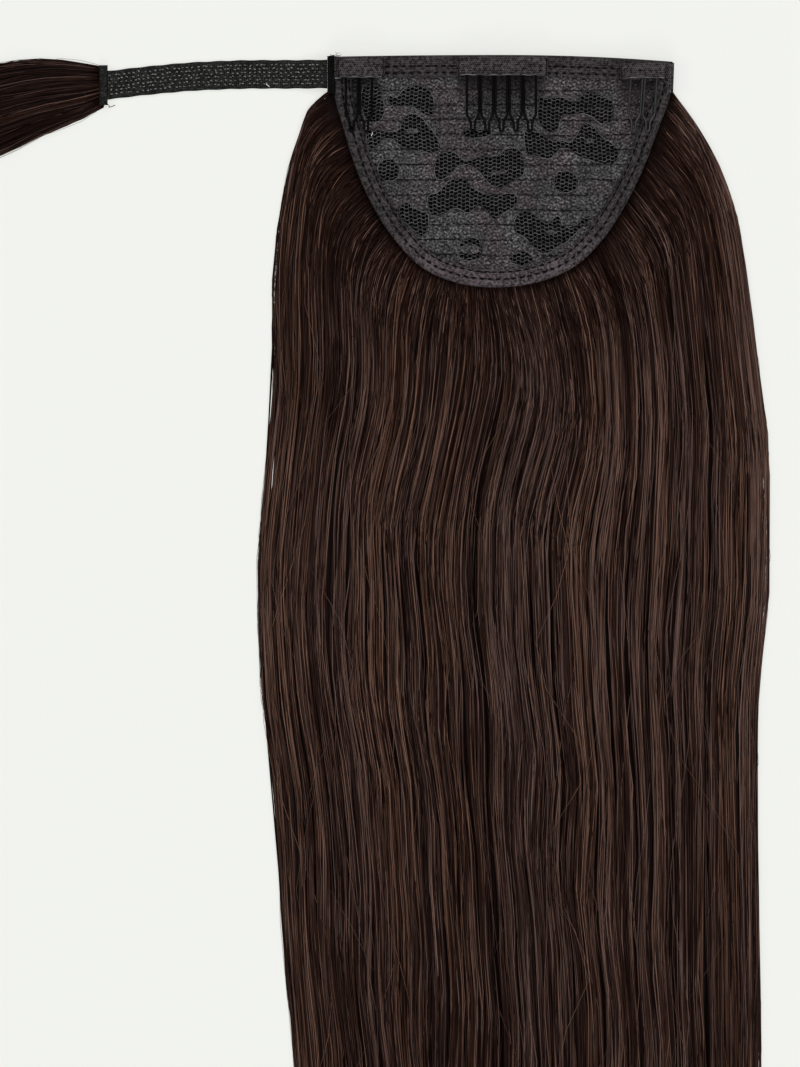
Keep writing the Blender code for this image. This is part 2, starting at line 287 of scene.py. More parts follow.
def carried(origin: Array, across: Array, section: Array) -> Surface:
    """A closed solid: a section carried along a path on the hair, with flat ends.

    A point is origin + across * a in plan, and h above the hair there, for each (a, h) of the section.

    Args:
        origin: path in plan, a row for each ring.
        across: level unit vectors square to the path, one a ring.
        section: (a, h) pairs round the section, of shape (rings, around, 2).

    Returns:
        The closed surface, with millimetres along and round the section as its pairs.
    """
    rings, around, _ = section.shape
    plan = origin[:, None, :] + across[:, None, :] * section[:, :, :1]
    points = on_hair(plan[..., 0], plan[..., 1], section[..., 1]).reshape(-1, 3)
    girth = along_of(section[rings // 2])
    along = np.broadcast_to(along_of(origin)[:, None], (rings, around))
    pairs = np.stack([along, np.broadcast_to(girth, (rings, around))], axis=2) / MM
    ends = [np.arange(around)[None, ::-1], np.arange(around)[None, :] + (rings - 1) * around]
    return Surface(points, [grid_quads(rings, around, ring=True), *ends], pairs.reshape(-1, 2)).outward()


def tubes(
    paths: Array, radii: Array | float, sides: int, tones: Array,
    warmth: Array | float = 0.5, lean: Array | None = None, level: Array | None = None,
) -> Surface:
    """Closed tubes along many paths at once.

    A ring's point is path + radius * (cos(a) * side + sin(a) * lift), where side is level and
    square to the path, lift is square to both, and a goes round in equal steps from the lean.

    Args:
        paths: points of the paths, of shape (tubes, points, 3).
        radii: radius at each point, of a shape that spreads to (tubes, points).
        sides: faces round each tube.
        tones: first number of the pairs, from 0 to 1, in such a shape too.
        warmth: second number of the pairs, likewise.
        lean: angle of each tube's first edge.
        level: direction of side for each tube, where the path isn't lying.

    Returns:
        The tubes as one surface.
    """
    count, steps, _ = paths.shape
    radii = np.broadcast_to(radii, (count, steps))[..., None, None]
    along = unit(np.gradient(paths, axis=1))
    side = np.cross(along, [0.0, 0.0, 1.0]) if level is None else np.broadcast_to(level[:, None, :], paths.shape)
    side = unit(side)
    lift = np.cross(side, along)
    turn = TAU * np.arange(sides) / sides
    angle = turn[None, :] + (np.zeros((count, 1)) if lean is None else lean[:, None])
    cosine, sine = np.cos(angle)[:, None, :, None], np.sin(angle)[:, None, :, None]
    rings = paths[:, :, None, :] + radii * (cosine * side[:, :, None, :] + sine * lift[:, :, None, :])
    start = (np.arange(count) * steps * sides)[:, None, None]
    quads = (grid_quads(steps, sides, ring=True)[None, :, ::-1] + start).reshape(-1, 4)
    first = np.arange(sides)[None, :] + start[:, 0]
    last = first[:, ::-1] + (steps - 1) * sides
    tones = np.clip(np.broadcast_to(tones, (count, steps)), 0.0, 1.0)[..., None]
    warmth = np.clip(np.broadcast_to(warmth, (count, steps)), 0.0, 1.0)[..., None]
    # A little apart round and along each tube, so that its faces have some area on the map.
    u = tones * 0.98 + np.arange(sides) / sides / 700 + 0.005
    v = warmth * 0.96 + np.linspace(0.01, 0.03, steps)[None, :, None]
    pairs = np.stack(np.broadcast_arrays(u, v), axis=-1).reshape(-1, 2)
    return Surface(rings.reshape(-1, 3), [quads, first, last], pairs).outward()


def capsules(middles: Array, ways: Array, length: float, radius: float, dip: float) -> Surface:
    """Short threads lying on cloth, each with its ends drawn down into it.

    Along a thread s goes from -1 to 1: it lies at middle + way * s * length / 2, lower by dip * s^4,
    and its radius shrinks with sqrt(1 - 0.8 s^2).

    Args:
        middles: middle of each thread.
        ways: unit vector along each thread, or one for all.
        length: length of a thread.
        radius: radius in its middle.
        dip: how far its ends go down.

    Returns:
        The threads as one surface.
    """
    s = np.linspace(-1.0, 1.0, 5)
    ways = np.broadcast_to(ways, middles.shape)
    paths = middles[:, None, :] + ways[:, None, :] * (s * length / 2)[None, :, None]
    paths[..., 2] -= dip * s**4
    return tubes(paths, radius * np.sqrt(1 - 0.8 * s * s)[None, :], 5, scattered(len(middles))[:, None])


def linked(name: str, data: Any) -> bpy.types.Object:
    """A new object of this data, in the scene."""
    thing = bpy.data.objects.new(name, data)
    bpy.context.collection.objects.link(thing)
    return thing


def add_piece(
    name: str, surface: Surface, finish: Finish,
    stands_for: Sequence[str] = (), map_name: str = STRAND_MAP,
) -> bpy.types.Object:
    """Make a surface into a shown piece that rides on the body.

    Args:
        name: the piece's name.
        surface: its points and faces.
        finish: its material.
        stands_for: nodes of the model that it replaces.
        map_name: UV map that the surface's pairs go to.

    Returns:
        The new object, at the origin.
    """
    mesh = bpy.data.meshes.new(name)
    corners = np.concatenate([quads.ravel() for quads in surface.faces]).astype(np.int32)
    sizes = np.concatenate([np.full(len(quads), quads.shape[1]) for quads in surface.faces])
    mesh.vertices.add(len(surface.points))
    mesh.vertices.foreach_set("co", surface.points.astype(np.float32).ravel())
    mesh.loops.add(len(corners))
    mesh.loops.foreach_set("vertex_index", corners)
    mesh.polygons.add(len(sizes))
    mesh.polygons.foreach_set("loop_start", (np.cumsum(sizes) - sizes).astype(np.int32))
    mesh.update(calc_edges=True)
    marks = mesh.uv_layers.new(name=map_name)
    marks.data.foreach_set("uv", surface.pairs[corners].astype(np.float32).ravel())
    mesh.validate()
    mesh.shade_smooth()
    if map_name == CLOTH_MAP:
        mesh.set_sharp_from_angle(angle=CREASE)
    mesh.materials.append(finish)
    piece = linked(name, mesh)
    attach(piece, BODY)
    if stands_for:
        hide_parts(*stands_for)
    LOG.info("%s: %d triangles", name, int((sizes - 2).sum()))
    return piece


# Shading


class Signal:
    """A node's output. Python's operators on it add Math nodes."""

    def __init__(self, shader: Shader, socket: bpy.types.NodeSocket) -> None:
        """Wrap one output socket of a shader's node."""
        self.shader = shader
        self.socket = socket

    def part(self, index: int) -> Signal:
        """Another output of the same node."""
        return Signal(self.shader, self.socket.node.outputs[index])

    def __add__(self, other: Signal | float) -> Signal:
        """The sum."""
        return self.shader.maths("ADD", self, other)

    __radd__ = __add__

    def __sub__(self, other: Signal | float) -> Signal:
        """The difference."""
        return self.shader.maths("SUBTRACT", self, other)

    def __rsub__(self, other: float) -> Signal:
        """The difference from a number."""
        return self.shader.maths("SUBTRACT", other, self)

    def __mul__(self, other: Signal | float) -> Signal:
        """The product."""
        return self.shader.maths("MULTIPLY", self, other)

    __rmul__ = __mul__

    def sine(self, shift: float = 0.0) -> Signal:
        """A sine of this number."""
        return self.shader.maths("SINE", self + shift)

    def wave(self, shift: float = 0.0) -> Signal:
        """A sine of this number, from 0 to 1."""
        return self.sine(shift) * 0.5 + 0.5

    def eased(self, start: float, full: float) -> Signal:
        """0 at start and 1 at full, with soft ends."""
        settings = {"interpolation_type": "SMOOTHSTEP"}
        return self.shader.node("ShaderNodeMapRange", settings, {0: self, 1: start, 2: full})


class Shader:
    """A material being made: its nodes and its Principled shader."""

    def __init__(self, name: str, roughness: float, specular: float, others: Mapping[str, Any] | None = None) -> None:
        """Start a material whose Principled shader has this roughness, specular level and other constants."""
        self.material = bpy.data.materials.new(name)
        self.material.use_nodes = True
        self.tree = self.material.node_tree
        self.surface = self.tree.nodes["Principled BSDF"]
        constants = {"Roughness": roughness, "Specular IOR Level": specular, **(others or {})}
        for socket, value in constants.items():
            self._set(self.surface.inputs[socket], value)

    def _set(self, socket: bpy.types.NodeSocket, value: Any) -> None:
        """Give a socket a link from a signal, or a constant."""
        if isinstance(value, Signal):
            self.tree.links.new(value.socket, socket)
        elif socket.type == "RGBA":
            socket.default_value = (*value[:3], 1.0)
        else:
            socket.default_value = value

    def node(
        self, kind: str, settings: Mapping[str, Any] | None = None,
        sockets: Mapping[int | str, Any] | None = None, output: int = 0,
    ) -> Signal:
        """Add a node.

        Args:
            kind: the node's type.
            settings: its own settings, set first; "stops" are a ramp's places and colours.
            sockets: values or signals of its inputs.
            output: which output is wanted.

        Returns:
            That output.
        """
        made = self.tree.nodes.new(kind)
        for name, value in (settings or {}).items():
            if name == "stops":
                self._set_stops(made.color_ramp, value)
            else:
                setattr(made, name, value)
        for key, value in (sockets or {}).items():
            self._set(made.inputs[key], value)
        return Signal(self, made.outputs[output])

    @staticmethod
    def _set_stops(ramp: bpy.types.ColorRamp, stops: Sequence[tuple[float, Colour]]) -> None:
        """Give a ramp its places and colours."""
        while len(ramp.elements) < len(stops):
            ramp.elements.new(0.5)
        for element, (place, colour) in zip(ramp.elements, stops):
            element.position = place
            element.color = (*colour, 1.0)

    def maths(self, operation: str, *values: Signal | float) -> Signal:
        """A Math node on up to three numbers."""
        return self.node("ShaderNodeMath", {"operation": operation}, dict(enumerate(values)))

    def ramp(self, share: Signal, stops: Sequence[tuple[float, Colour]]) -> Signal:
        """A colour along a ramp."""
        return self.node("ShaderNodeValToRGB", {"stops": stops}, {0: share})

    def mix(self, share: Signal | float, first: Any, second: Any, blend: str = "MIX") -> Signal:
        """A colour between two, by a share from 0 to 1."""
        settings = {"data_type": "RGBA", "blend_type": blend}
        return self.node("ShaderNodeMix", settings, {0: share, 6: first, 7: second}, 2)

    def place(self) -> tuple[Signal, Signal, Signal]:
        """The object's coordinates, in metres, and its X and Y alone."""
        vector = self.node("ShaderNodeTexCoord", output=3)
        x = self.node("ShaderNodeSeparateXYZ", sockets={0: vector})
        return vector, x, x.part(1)

    def pairs(self, map_name: str) -> tuple[Signal, Signal, Signal]:
        """A UV map's coordinates, and its two numbers alone."""
        vector = self.node("ShaderNodeUVMap", {"uv_map": map_name})
        first = self.node("ShaderNodeSeparateXYZ", sockets={0: vector})
        return vector, first, first.part(1)

    def noise(self, vector: Signal, scale: float, detail: float = 2.0) -> Signal:
        """Soft noise from about 0 to 1."""
        return self.node("ShaderNodeTexNoise", sockets={"Vector": vector, "Scale": scale, "Detail": detail})

    def stretched(self, vector: Signal, x: float, y: float, z: float) -> Signal:
        """Coordinates scaled along each axis."""
        return self.node("ShaderNodeMapping", sockets={"Vector": vector, "Scale": (x, y, z)})

    def bump(self, height: Signal, depth: float) -> Signal:
        """Relief as deep as a height of 0 to 1 times the depth, in metres."""
        return self.node("ShaderNodeBump", sockets={"Height": height, "Distance": depth, "Strength": 1.0})

    def finish(self, colour: Signal, normal: Signal | None = None, roughness: Signal | None = None) -> Finish:
        """Feed the Principled shader and return the material."""
        self._set(self.surface.inputs["Base Color"], colour)
        if normal is not None:
            self._set(self.surface.inputs["Normal"], normal)
        if roughness is not None:
            self._set(self.surface.inputs["Roughness"], roughness)
        return self.material


@dataclass(frozen=True)
class HairFinish:
    """Smooth hair whose colour is a function of a strand's tone and its warmth."""

    name: str = "hair_strands"
    roughness: float = 0.42
    specular: float = 0.05
    ashen: Stops = (
        (0.00, (0.0026, 0.0009, 0.0004)),
        (0.30, (0.0118, 0.0050, 0.0042)),
        (0.60, (0.0376, 0.0198, 0.0166)),
        (1.00, (0.1570, 0.0985, 0.0860)),
    )
    golden: Stops = (
        (0.00, (0.0032, 0.0009, 0.0003)),
        (0.30, (0.0160, 0.0052, 0.0031)),
        (0.60, (0.0512, 0.0222, 0.0134)),
        (1.00, (0.2140, 0.1140, 0.0770)),
    )

    def material(self) -> Finish:
        """Two ramps along the tone, mixed by the warmth."""
        shader = Shader(self.name, self.roughness, self.specular)
        _, tone, warmth = shader.pairs(STRAND_MAP)
        return shader.finish(shader.mix(warmth, shader.ramp(tone, self.ashen), shader.ramp(tone, self.golden)))


@dataclass(frozen=True)
class CoreFinish:
    """The hair's depth between its strands, coloured darker than the strands as painted shade: streaks that run with
    the hair.
    """

    name: str
    streaks: tuple[float, float, float]
    dark: Colour = (0.0016, 0.0012, 0.0011)
    light: Colour = (0.0080, 0.0050, 0.0042)

    def material(self) -> Finish:
        """Noise drawn out along the hair, as colour and as relief."""
        shader = Shader(self.name, 0.6, 0.04)
        vector, _, _ = shader.place()
        streak = shader.noise(shader.stretched(vector, *self.streaks), 1.0, 4.0)
        colour = shader.ramp(streak, ((0.35, self.dark), (0.72, self.light)))
        return shader.finish(colour, shader.bump(streak, 0.0004))


@dataclass(frozen=True)
class NetBend:
    """How the lace's rows are bent, as a real net is: sines of x in y, and of y in x."""

    row: float = 1.33 * MM
    wave: float = 2.85 * MM
    sway: float = 0.33 * MM
    start: tuple[float, float] = (-0.058, -0.041)
    big: float = 0.45 * MM
    small: float = 0.20 * MM

    def bent(self, x: Array, y: Array) -> Pair:
        """Places in the flat net, moved to where the bent net has them."""
        bent_x = x + self.big * np.sin(y * 210.0 + 0.8)
        bent_y = y + self.big * np.sin(x * 150.0 + 0.4) + self.small * np.sin(x * 480.0 + 2.0)
        return bent_x, bent_y

    def phase(self, x: Signal, y: Signal) -> Signal:
        """How far between two rows of the bent net a place is, as an angle."""
        flat_x = x - (y * 210.0).sine(0.8) * self.big
        flat_y = y - (x * 150.0).sine(0.4) * self.big - (x * 480.0).sine(2.0) * self.small
        swing = ((flat_x - self.start[0]) * (TAU / self.wave)).sine(math.pi / 2)
        return (flat_y - self.start[1] - swing * self.sway) * (TAU / self.row)


@dataclass(frozen=True)
class LaceFinish:
    """Charcoal lace: paler loops in the net's wavy rows, filled with a grainy knit."""

    name: str
    stops: Stops = (
        (0.10, (0.0060, 0.0057, 0.0059)),
        (0.42, (0.0320, 0.0308, 0.0316)),
        (0.70, (0.0760, 0.0738, 0.0750)),
        (1.00, (0.2000, 0.1950, 0.1970)),
    )
    mauve: Colour = (1.09, 0.94, 1.00)
    moss: Colour = (0.99, 0.98, 0.97)
    painted_shade_boxes: tuple[tuple[float, float, float], ...] = (
        (-0.0625, -0.0425, 0.0190),
        (-0.0180, 0.0165, 0.0195),
        (0.0385, 0.0620, 0.0200),
    )
    depth: float = 0.00016

    def material(self) -> Finish:
        """Rows cos(phase) of the bent net, its half rows and grain, in two faint tints.

        Behind the combs, between the two x and above the y of each box, it's darker: painted shade under the combs.
        """
        shader = Shader(self.name, 0.9, 0.06)
        vector, x, y = shader.place()
        phase = NetBend().phase(x, y)
        rows = phase.wave(math.pi / 2)
        knit = (phase * 2.0 + (x * 8200.0).sine() * 1.2).wave()
        grain = shader.noise(vector, 1350.0, 3.0).eased(0.28, 0.72)
        height = rows * 0.20 + knit * 0.12 + grain * 0.68
        broad = shader.noise(vector, 95.0, 2.0)
        level = height * (broad * 0.55 + 0.72)
        seam = ((y + (x * 90.0).sine() * 0.0003 - WEFT_SEAM_Y) * (TAU / WEFT_PITCH)).wave(math.pi / 2)
        level = level * (1.0 - seam.eased(0.950, 1.0) * shader.noise(vector, 170.0, 2.0).eased(0.35, 0.62) * 0.62)
        # Painted shade under the combs: darker inside each box.
        for left, right, low in self.painted_shade_boxes:
            inside = x.eased(left, left + 0.004) * (1.0 - x.eased(right - 0.004, right)) * y.eased(low, low + 0.014)
            level = level * (1.0 - inside * 0.45)
        colour = shader.ramp(level, self.stops)
        tint = shader.mix(shader.noise(vector, 60.0, 1.0).eased(0.42, 0.58), self.mauve, self.moss)
        return shader.finish(shader.mix(1.0, colour, tint, "MULTIPLY"), shader.bump(height, self.depth))


@dataclass(frozen=True)
class ThreadFinish:
    """Thread, yarn, wire or plastic in one colour that each length of it has darker or lighter."""

    name: str
    colour: Colour
    unevenness: float = 0.45
    roughness: float = 0.7
    specular: float = 0.10

    def material(self) -> Finish:
        """A mix of the darkest and the lightest by the tone."""
        shader = Shader(self.name, self.roughness, self.specular)
        _, tone, _ = shader.pairs(STRAND_MAP)
        low = tuple(c * (1 - self.unevenness) for c in self.colour)
        high = tuple(min(1.0, c * (1 + self.unevenness)) for c in self.colour)
        return shader.finish(shader.mix(tone, low, high))


@dataclass(frozen=True)
class TapeFinish:
    """Fine woven tape, charcoal, paler and a little mauve at the cap's lower end."""

    name: str
    upper: Colour = (0.0300, 0.0262, 0.0270)
    lower: Colour = (0.0560, 0.0450, 0.0490)
    pick: float = 0.62
    depth: float = 0.00008

    def material(self) -> Finish:
        """A twill of two crossed waves in the tape's own millimetres, with slubs of noise."""
        shader = Shader(self.name, 0.9, 0.06)
        vector, _, y = shader.place()
        _, along, across = shader.pairs(CLOTH_MAP)
        turn = TAU / self.pick
        warp = (along * turn + across * (turn * 0.5)).wave()
        weft = (across * turn).wave()
        slub = shader.noise(vector, 1000.0, 3.0).eased(0.28, 0.72)
        streak = shader.noise(shader.stretched(vector, 90.0, 420.0, 90.0), 1.0, 2.0)
        height = warp * 0.25 + weft * 0.20 + slub * 0.55
        base = shader.mix(y.eased(-0.012, -0.038), self.upper, self.lower)
        level = height * (streak * 0.8 + 0.6)
        shade = shader.ramp(level, ((0.18, (0.06, 0.06, 0.06)), (0.85, (2.30, 2.30, 2.30))))
        return shader.finish(shader.mix(1.0, base, shade, "MULTIPLY"), shader.bump(height, self.depth))


@dataclass(frozen=True)
class StrapFinish:
    """The ground of the hook tape: tight black weave."""

    name: str = "hook_tape_ground"

    def material(self) -> Finish:
        """Fine ribs across the tape, with grey slubs."""
        shader = Shader(self.name, 0.8, 0.08)
        vector, _, _ = shader.place()
        _, along, across = shader.pairs(CLOTH_MAP)
        ribs = (along * 9.0).wave()
        picks = (across * 7.5 + (along * 4.5).sine()).wave()
        grain = shader.noise(vector, 1300.0, 3.0).eased(0.3, 0.7)
        height = ribs * 0.3 + picks * 0.2 + grain * 0.5
        stops = ((0.2, (0.0030, 0.0030, 0.0029)), (0.7, (0.0190, 0.0192, 0.0180)), (1.0, (0.0650, 0.0650, 0.0620)))
        return shader.finish(shader.ramp(height, stops), shader.bump(height, 0.00012))


@dataclass(frozen=True)
class WireFinish:
    """Spring wire with a thin black coat, satin, dulled here and there."""

    name: str
    gloss: float
    light: Colour

    def material(self) -> Finish:
        """Near-black colour and a roughness that drifts with noise."""
        shader = Shader(self.name, 0.5, self.gloss)
        vector, _, _ = shader.place()
        drift = shader.noise(vector, 420.0, 3.0)
        colour = shader.mix(drift, (0.0008, 0.0008, 0.0008), self.light)
        return shader.finish(colour, shader.bump(drift, 0.00004), drift * 0.25 + 0.22)


# The ground that the cap lies on, and the cap's outline


class HairSection(NamedTuple):
    """One crossing of the hair, at y."""

    y: float
    left: float
    right: float
    thick: float


class CapSection(NamedTuple):
    """One crossing of the cap's bound edge, at y."""

    y: float
    left: float
    right: float


@dataclass(frozen=True)
class HairForm:
    """The outer form of the hair, the same as the model's hair_fall node."""

    edge: float = 0.0010
    crown_power: float = 2.6
    locks: int = 7
    lock_depth: float = 0.0009
    lock_start_y: float = -0.0480
    lock_full_y: float = -0.0900
    sections: tuple[HairSection, ...] = table(
        HairSection,
        (0.0388, -0.0572, 0.0566, 0.0022), (0.0310, -0.0580, 0.0572, 0.0022), (0.0270, -0.0630, 0.0595, 0.0027),
        (0.0217, -0.0682, 0.0634, 0.0038), (0.0147, -0.0707, 0.0682, 0.0055), (0.0007, -0.0756, 0.0760, 0.0088),
        (-0.0168, -0.0791, 0.0819, 0.0120), (-0.0448, -0.0812, 0.0861, 0.0146), (-0.0728, -0.0805, 0.0896, 0.0150),
        (-0.1008, -0.0833, 0.0928, 0.0146), (-0.1428, -0.0862, 0.0928, 0.0138), (-0.1848, -0.0847, 0.0889, 0.0128),
        (-0.2128, -0.0808, 0.0886, 0.0122), (-0.2688, -0.0774, 0.0893, 0.0108), (-0.3108, -0.0735, 0.0900, 0.0098),
        (-0.3700, -0.0700, 0.0860, 0.0080), (-0.4200, -0.0650, 0.0800, 0.0062), (-0.4500, -0.0570, 0.0720, 0.0046),
        (-0.4620, -0.0460, 0.0620, 0.0034), (-0.4680, -0.0300, 0.0470, 0.0020),
    )

    def sides(self, y: Array) -> Pair:
        """The hair's left and right edges at y."""
        return read_off(self.sections, y, "left", "right")

    def top(self, x: Array, y: Array) -> Array:
        """Height of the upper side: a crown 1 - |side|^power high, grooved between locks by a cosine."""
        left, right, thick = read_off(self.sections, y, "left", "right", "thick")
        side = np.clip((x - (left + right) / 2) / ((right - left) / 2), -1.0, 1.0)
        crown = self.edge + (thick - self.edge) * (1 - np.abs(side) ** self.crown_power)
        wander = 0.5 * np.sin(y * 26.0) + 0.9 * np.sin(side * 2.3 + 0.8)
        lock = 0.5 - 0.5 * np.cos(math.pi * self.locks * side + wander)
        depth = self.lock_depth * eased(y, self.lock_start_y, self.lock_full_y) * (1 - side**2)
        return crown - depth * lock * np.clip(thick / 0.010, 0.0, 1.0)


@dataclass(frozen=True)
class CapOutline:
    """The cap in plan: a U shaped edge under a shallow arc."""

    half_width: float = 0.0592
    top_middle: float = 0.0408
    top_left: float = 0.0403
    top_right: float = 0.0385
    lowest: tuple[float, float] = (-0.0030, -0.0403)
    sections: tuple[CapSection, ...] = table(
        CapSection,
        (0.0330, -0.0592, 0.0590), (0.0265, -0.0588, 0.0578), (0.0160, -0.0560, 0.0540), (0.0020, -0.0517, 0.0487),
        (-0.0120, -0.0455, 0.0418), (-0.0240, -0.0377, 0.0338), (-0.0335, -0.0283, 0.0236),
        (-0.0388, -0.0160, 0.0102),
    )

    def band_top(self, x: Array) -> Array:
        """The upper edge at x: an arc through its left end, middle and right end."""
        t = x / self.half_width
        end = np.where(t < 0, self.top_left, self.top_right)
        return self.top_middle + (end - self.top_middle) * t * t

    def edge(self, count: int) -> Array:
        """Points at equal steps along the U, from its upper left end to its upper right end."""
        left = [(row.left, row.y) for row in self.sections]
        right = [(row.right, row.y) for row in reversed(self.sections)]
        knots = np.array(left + [self.lowest] + right)
        along = along_of(knots)
        tangent = np.gradient(knots, along, axis=0)
        at = np.linspace(0.0, along[-1], count)
        k = np.clip(np.searchsorted(along, at) - 1, 0, len(along) - 2)
        span = (along[k + 1] - along[k])[:, None]
        t = (at - along[k])[:, None] / span
        return cubic(knots, tangent, k, span, t)

    @staticmethod
    def inward(path: Array) -> Array:
        """Unit vectors from the U shaped edge towards the middle of the cap."""
        along = unit(np.gradient(path, axis=0))
        return np.stack([-along[:, 1], along[:, 0]], axis=1)

    def half_widths(self, y: Array, inset: float) -> Pair:
        """The U's left and right edges at y, moved in by an inset square to them."""
        edge = self.edge(401)
        edge = edge + self.inward(edge) * inset
        middle = int(np.argmin(edge[:, 1]))
        left = np.interp(-y, -edge[: middle + 1, 1], edge[: middle + 1, 0])
        right = np.interp(y, edge[middle:, 1], edge[middle:, 0])
        below = y < edge[middle, 1]
        return np.where(below, edge[middle, 0], left), np.where(below, edge[middle, 0], right)


@dataclass(frozen=True)
class CapLayers:
    """Heights of the cap's layers above the hair, as the model has them."""

    tape: float = 0.0010
    lace: float = 0.0010
    gap: float = 0.0003

    @property
    def binding_low(self) -> float:
        """Underside of the folded tapes."""
        return self.gap

    @property
    def lace_low(self) -> float:
        """Underside of the lace."""
        return self.binding_low + self.tape + self.gap

    @property
    def lace_high(self) -> float:
        """Upper side of the lace."""
        return self.lace_low + self.lace

    @property
    def binding_high(self) -> float:
        """Upper side of the folded tapes."""
        return self.lace_high + self.gap + self.tape


FORM = HairForm()
OUTLINE = CapOutline()
LAYERS = CapLayers()
WEFT_ROWS = 12
WEFT_SEAM_Y = 0.0289
WEFT_PITCH = 0.0053


def on_hair(x: Array, y: Array, lift: Array | float) -> Array:
    """Points a lift above the hair's top."""
    return xyz(x, y, FORM.top(x, y) + lift)


# The hair


@dataclass(frozen=True)
class StrandSheet:
    """One sheet of strands in the hair.

    Its depths are below the hair's top, its shares are spans of the hair's width, its ends are the
    y of the tips, and beyond is how far past the hair's side a strand may lie, as a share of the
    half width. Pinch is how much of its locks' pull it takes, and fade how far it sinks at its tip.
    """

    name: str
    count: int
    shallow: float
    deep: float
    radius: float
    steps: int
    shares: tuple[Span, ...] = ((0.0, 1.0),)
    ends: Span = (-0.4675, -0.4420)
    stray: float = 0.0004
    tone: float = 0.46
    spread: float = 0.17
    pinch: float = 1.0
    fade: float = 0.0
    beyond: float = 0.0
    facing: Facing = Facing.UP


@dataclass(frozen=True)
class Locks:
    """Locks of one size in the hair: strands are drawn together to the middle of their lock."""

    seed: int
    count: int
    pinch: float
    length: float
    furthest: float = 1.3

    def spread(self, key: int, low: float, high: float) -> Array:
        """A number for each lock between two limits."""
        return np.random.default_rng(self.seed + key).uniform(low, high, self.count)

    def shift(self) -> Array:
        """How far each lock's middle is from its place, in lock widths."""
        return self.spread(0, -0.3, 0.3)

    def of(self, share: Array) -> Array:
        """The lock that each strand is in."""
        return np.clip((share * self.count).astype(int), 0, self.count - 1)

    def off_middle(self, share: Array) -> Array:
        """How far a strand is from its lock's middle towards the lock's edge, as a share up to the limit."""
        lock = self.of(share)
        off = np.abs(share * self.count - (lock + 0.5 + self.shift()[lock])) * 2
        return np.minimum(off, self.furthest)

    def pull(self, share: Array, y: Array) -> Array:
        """How far strands move towards their lock's middle, more and less in waves along y."""
        lock = self.of(share)
        middle = (np.arange(self.count) + 0.5 + self.shift()) / self.count
        wave = wave_along(y, self.length, self.spread(1, 0.0, 6.3)[lock][:, None])
        inside = (share > 0.0) & (share < 1.0)
        return np.where(inside, middle[lock] - share, 0.0)[:, None] * self.pinch * (1 + 0.7 * wave)


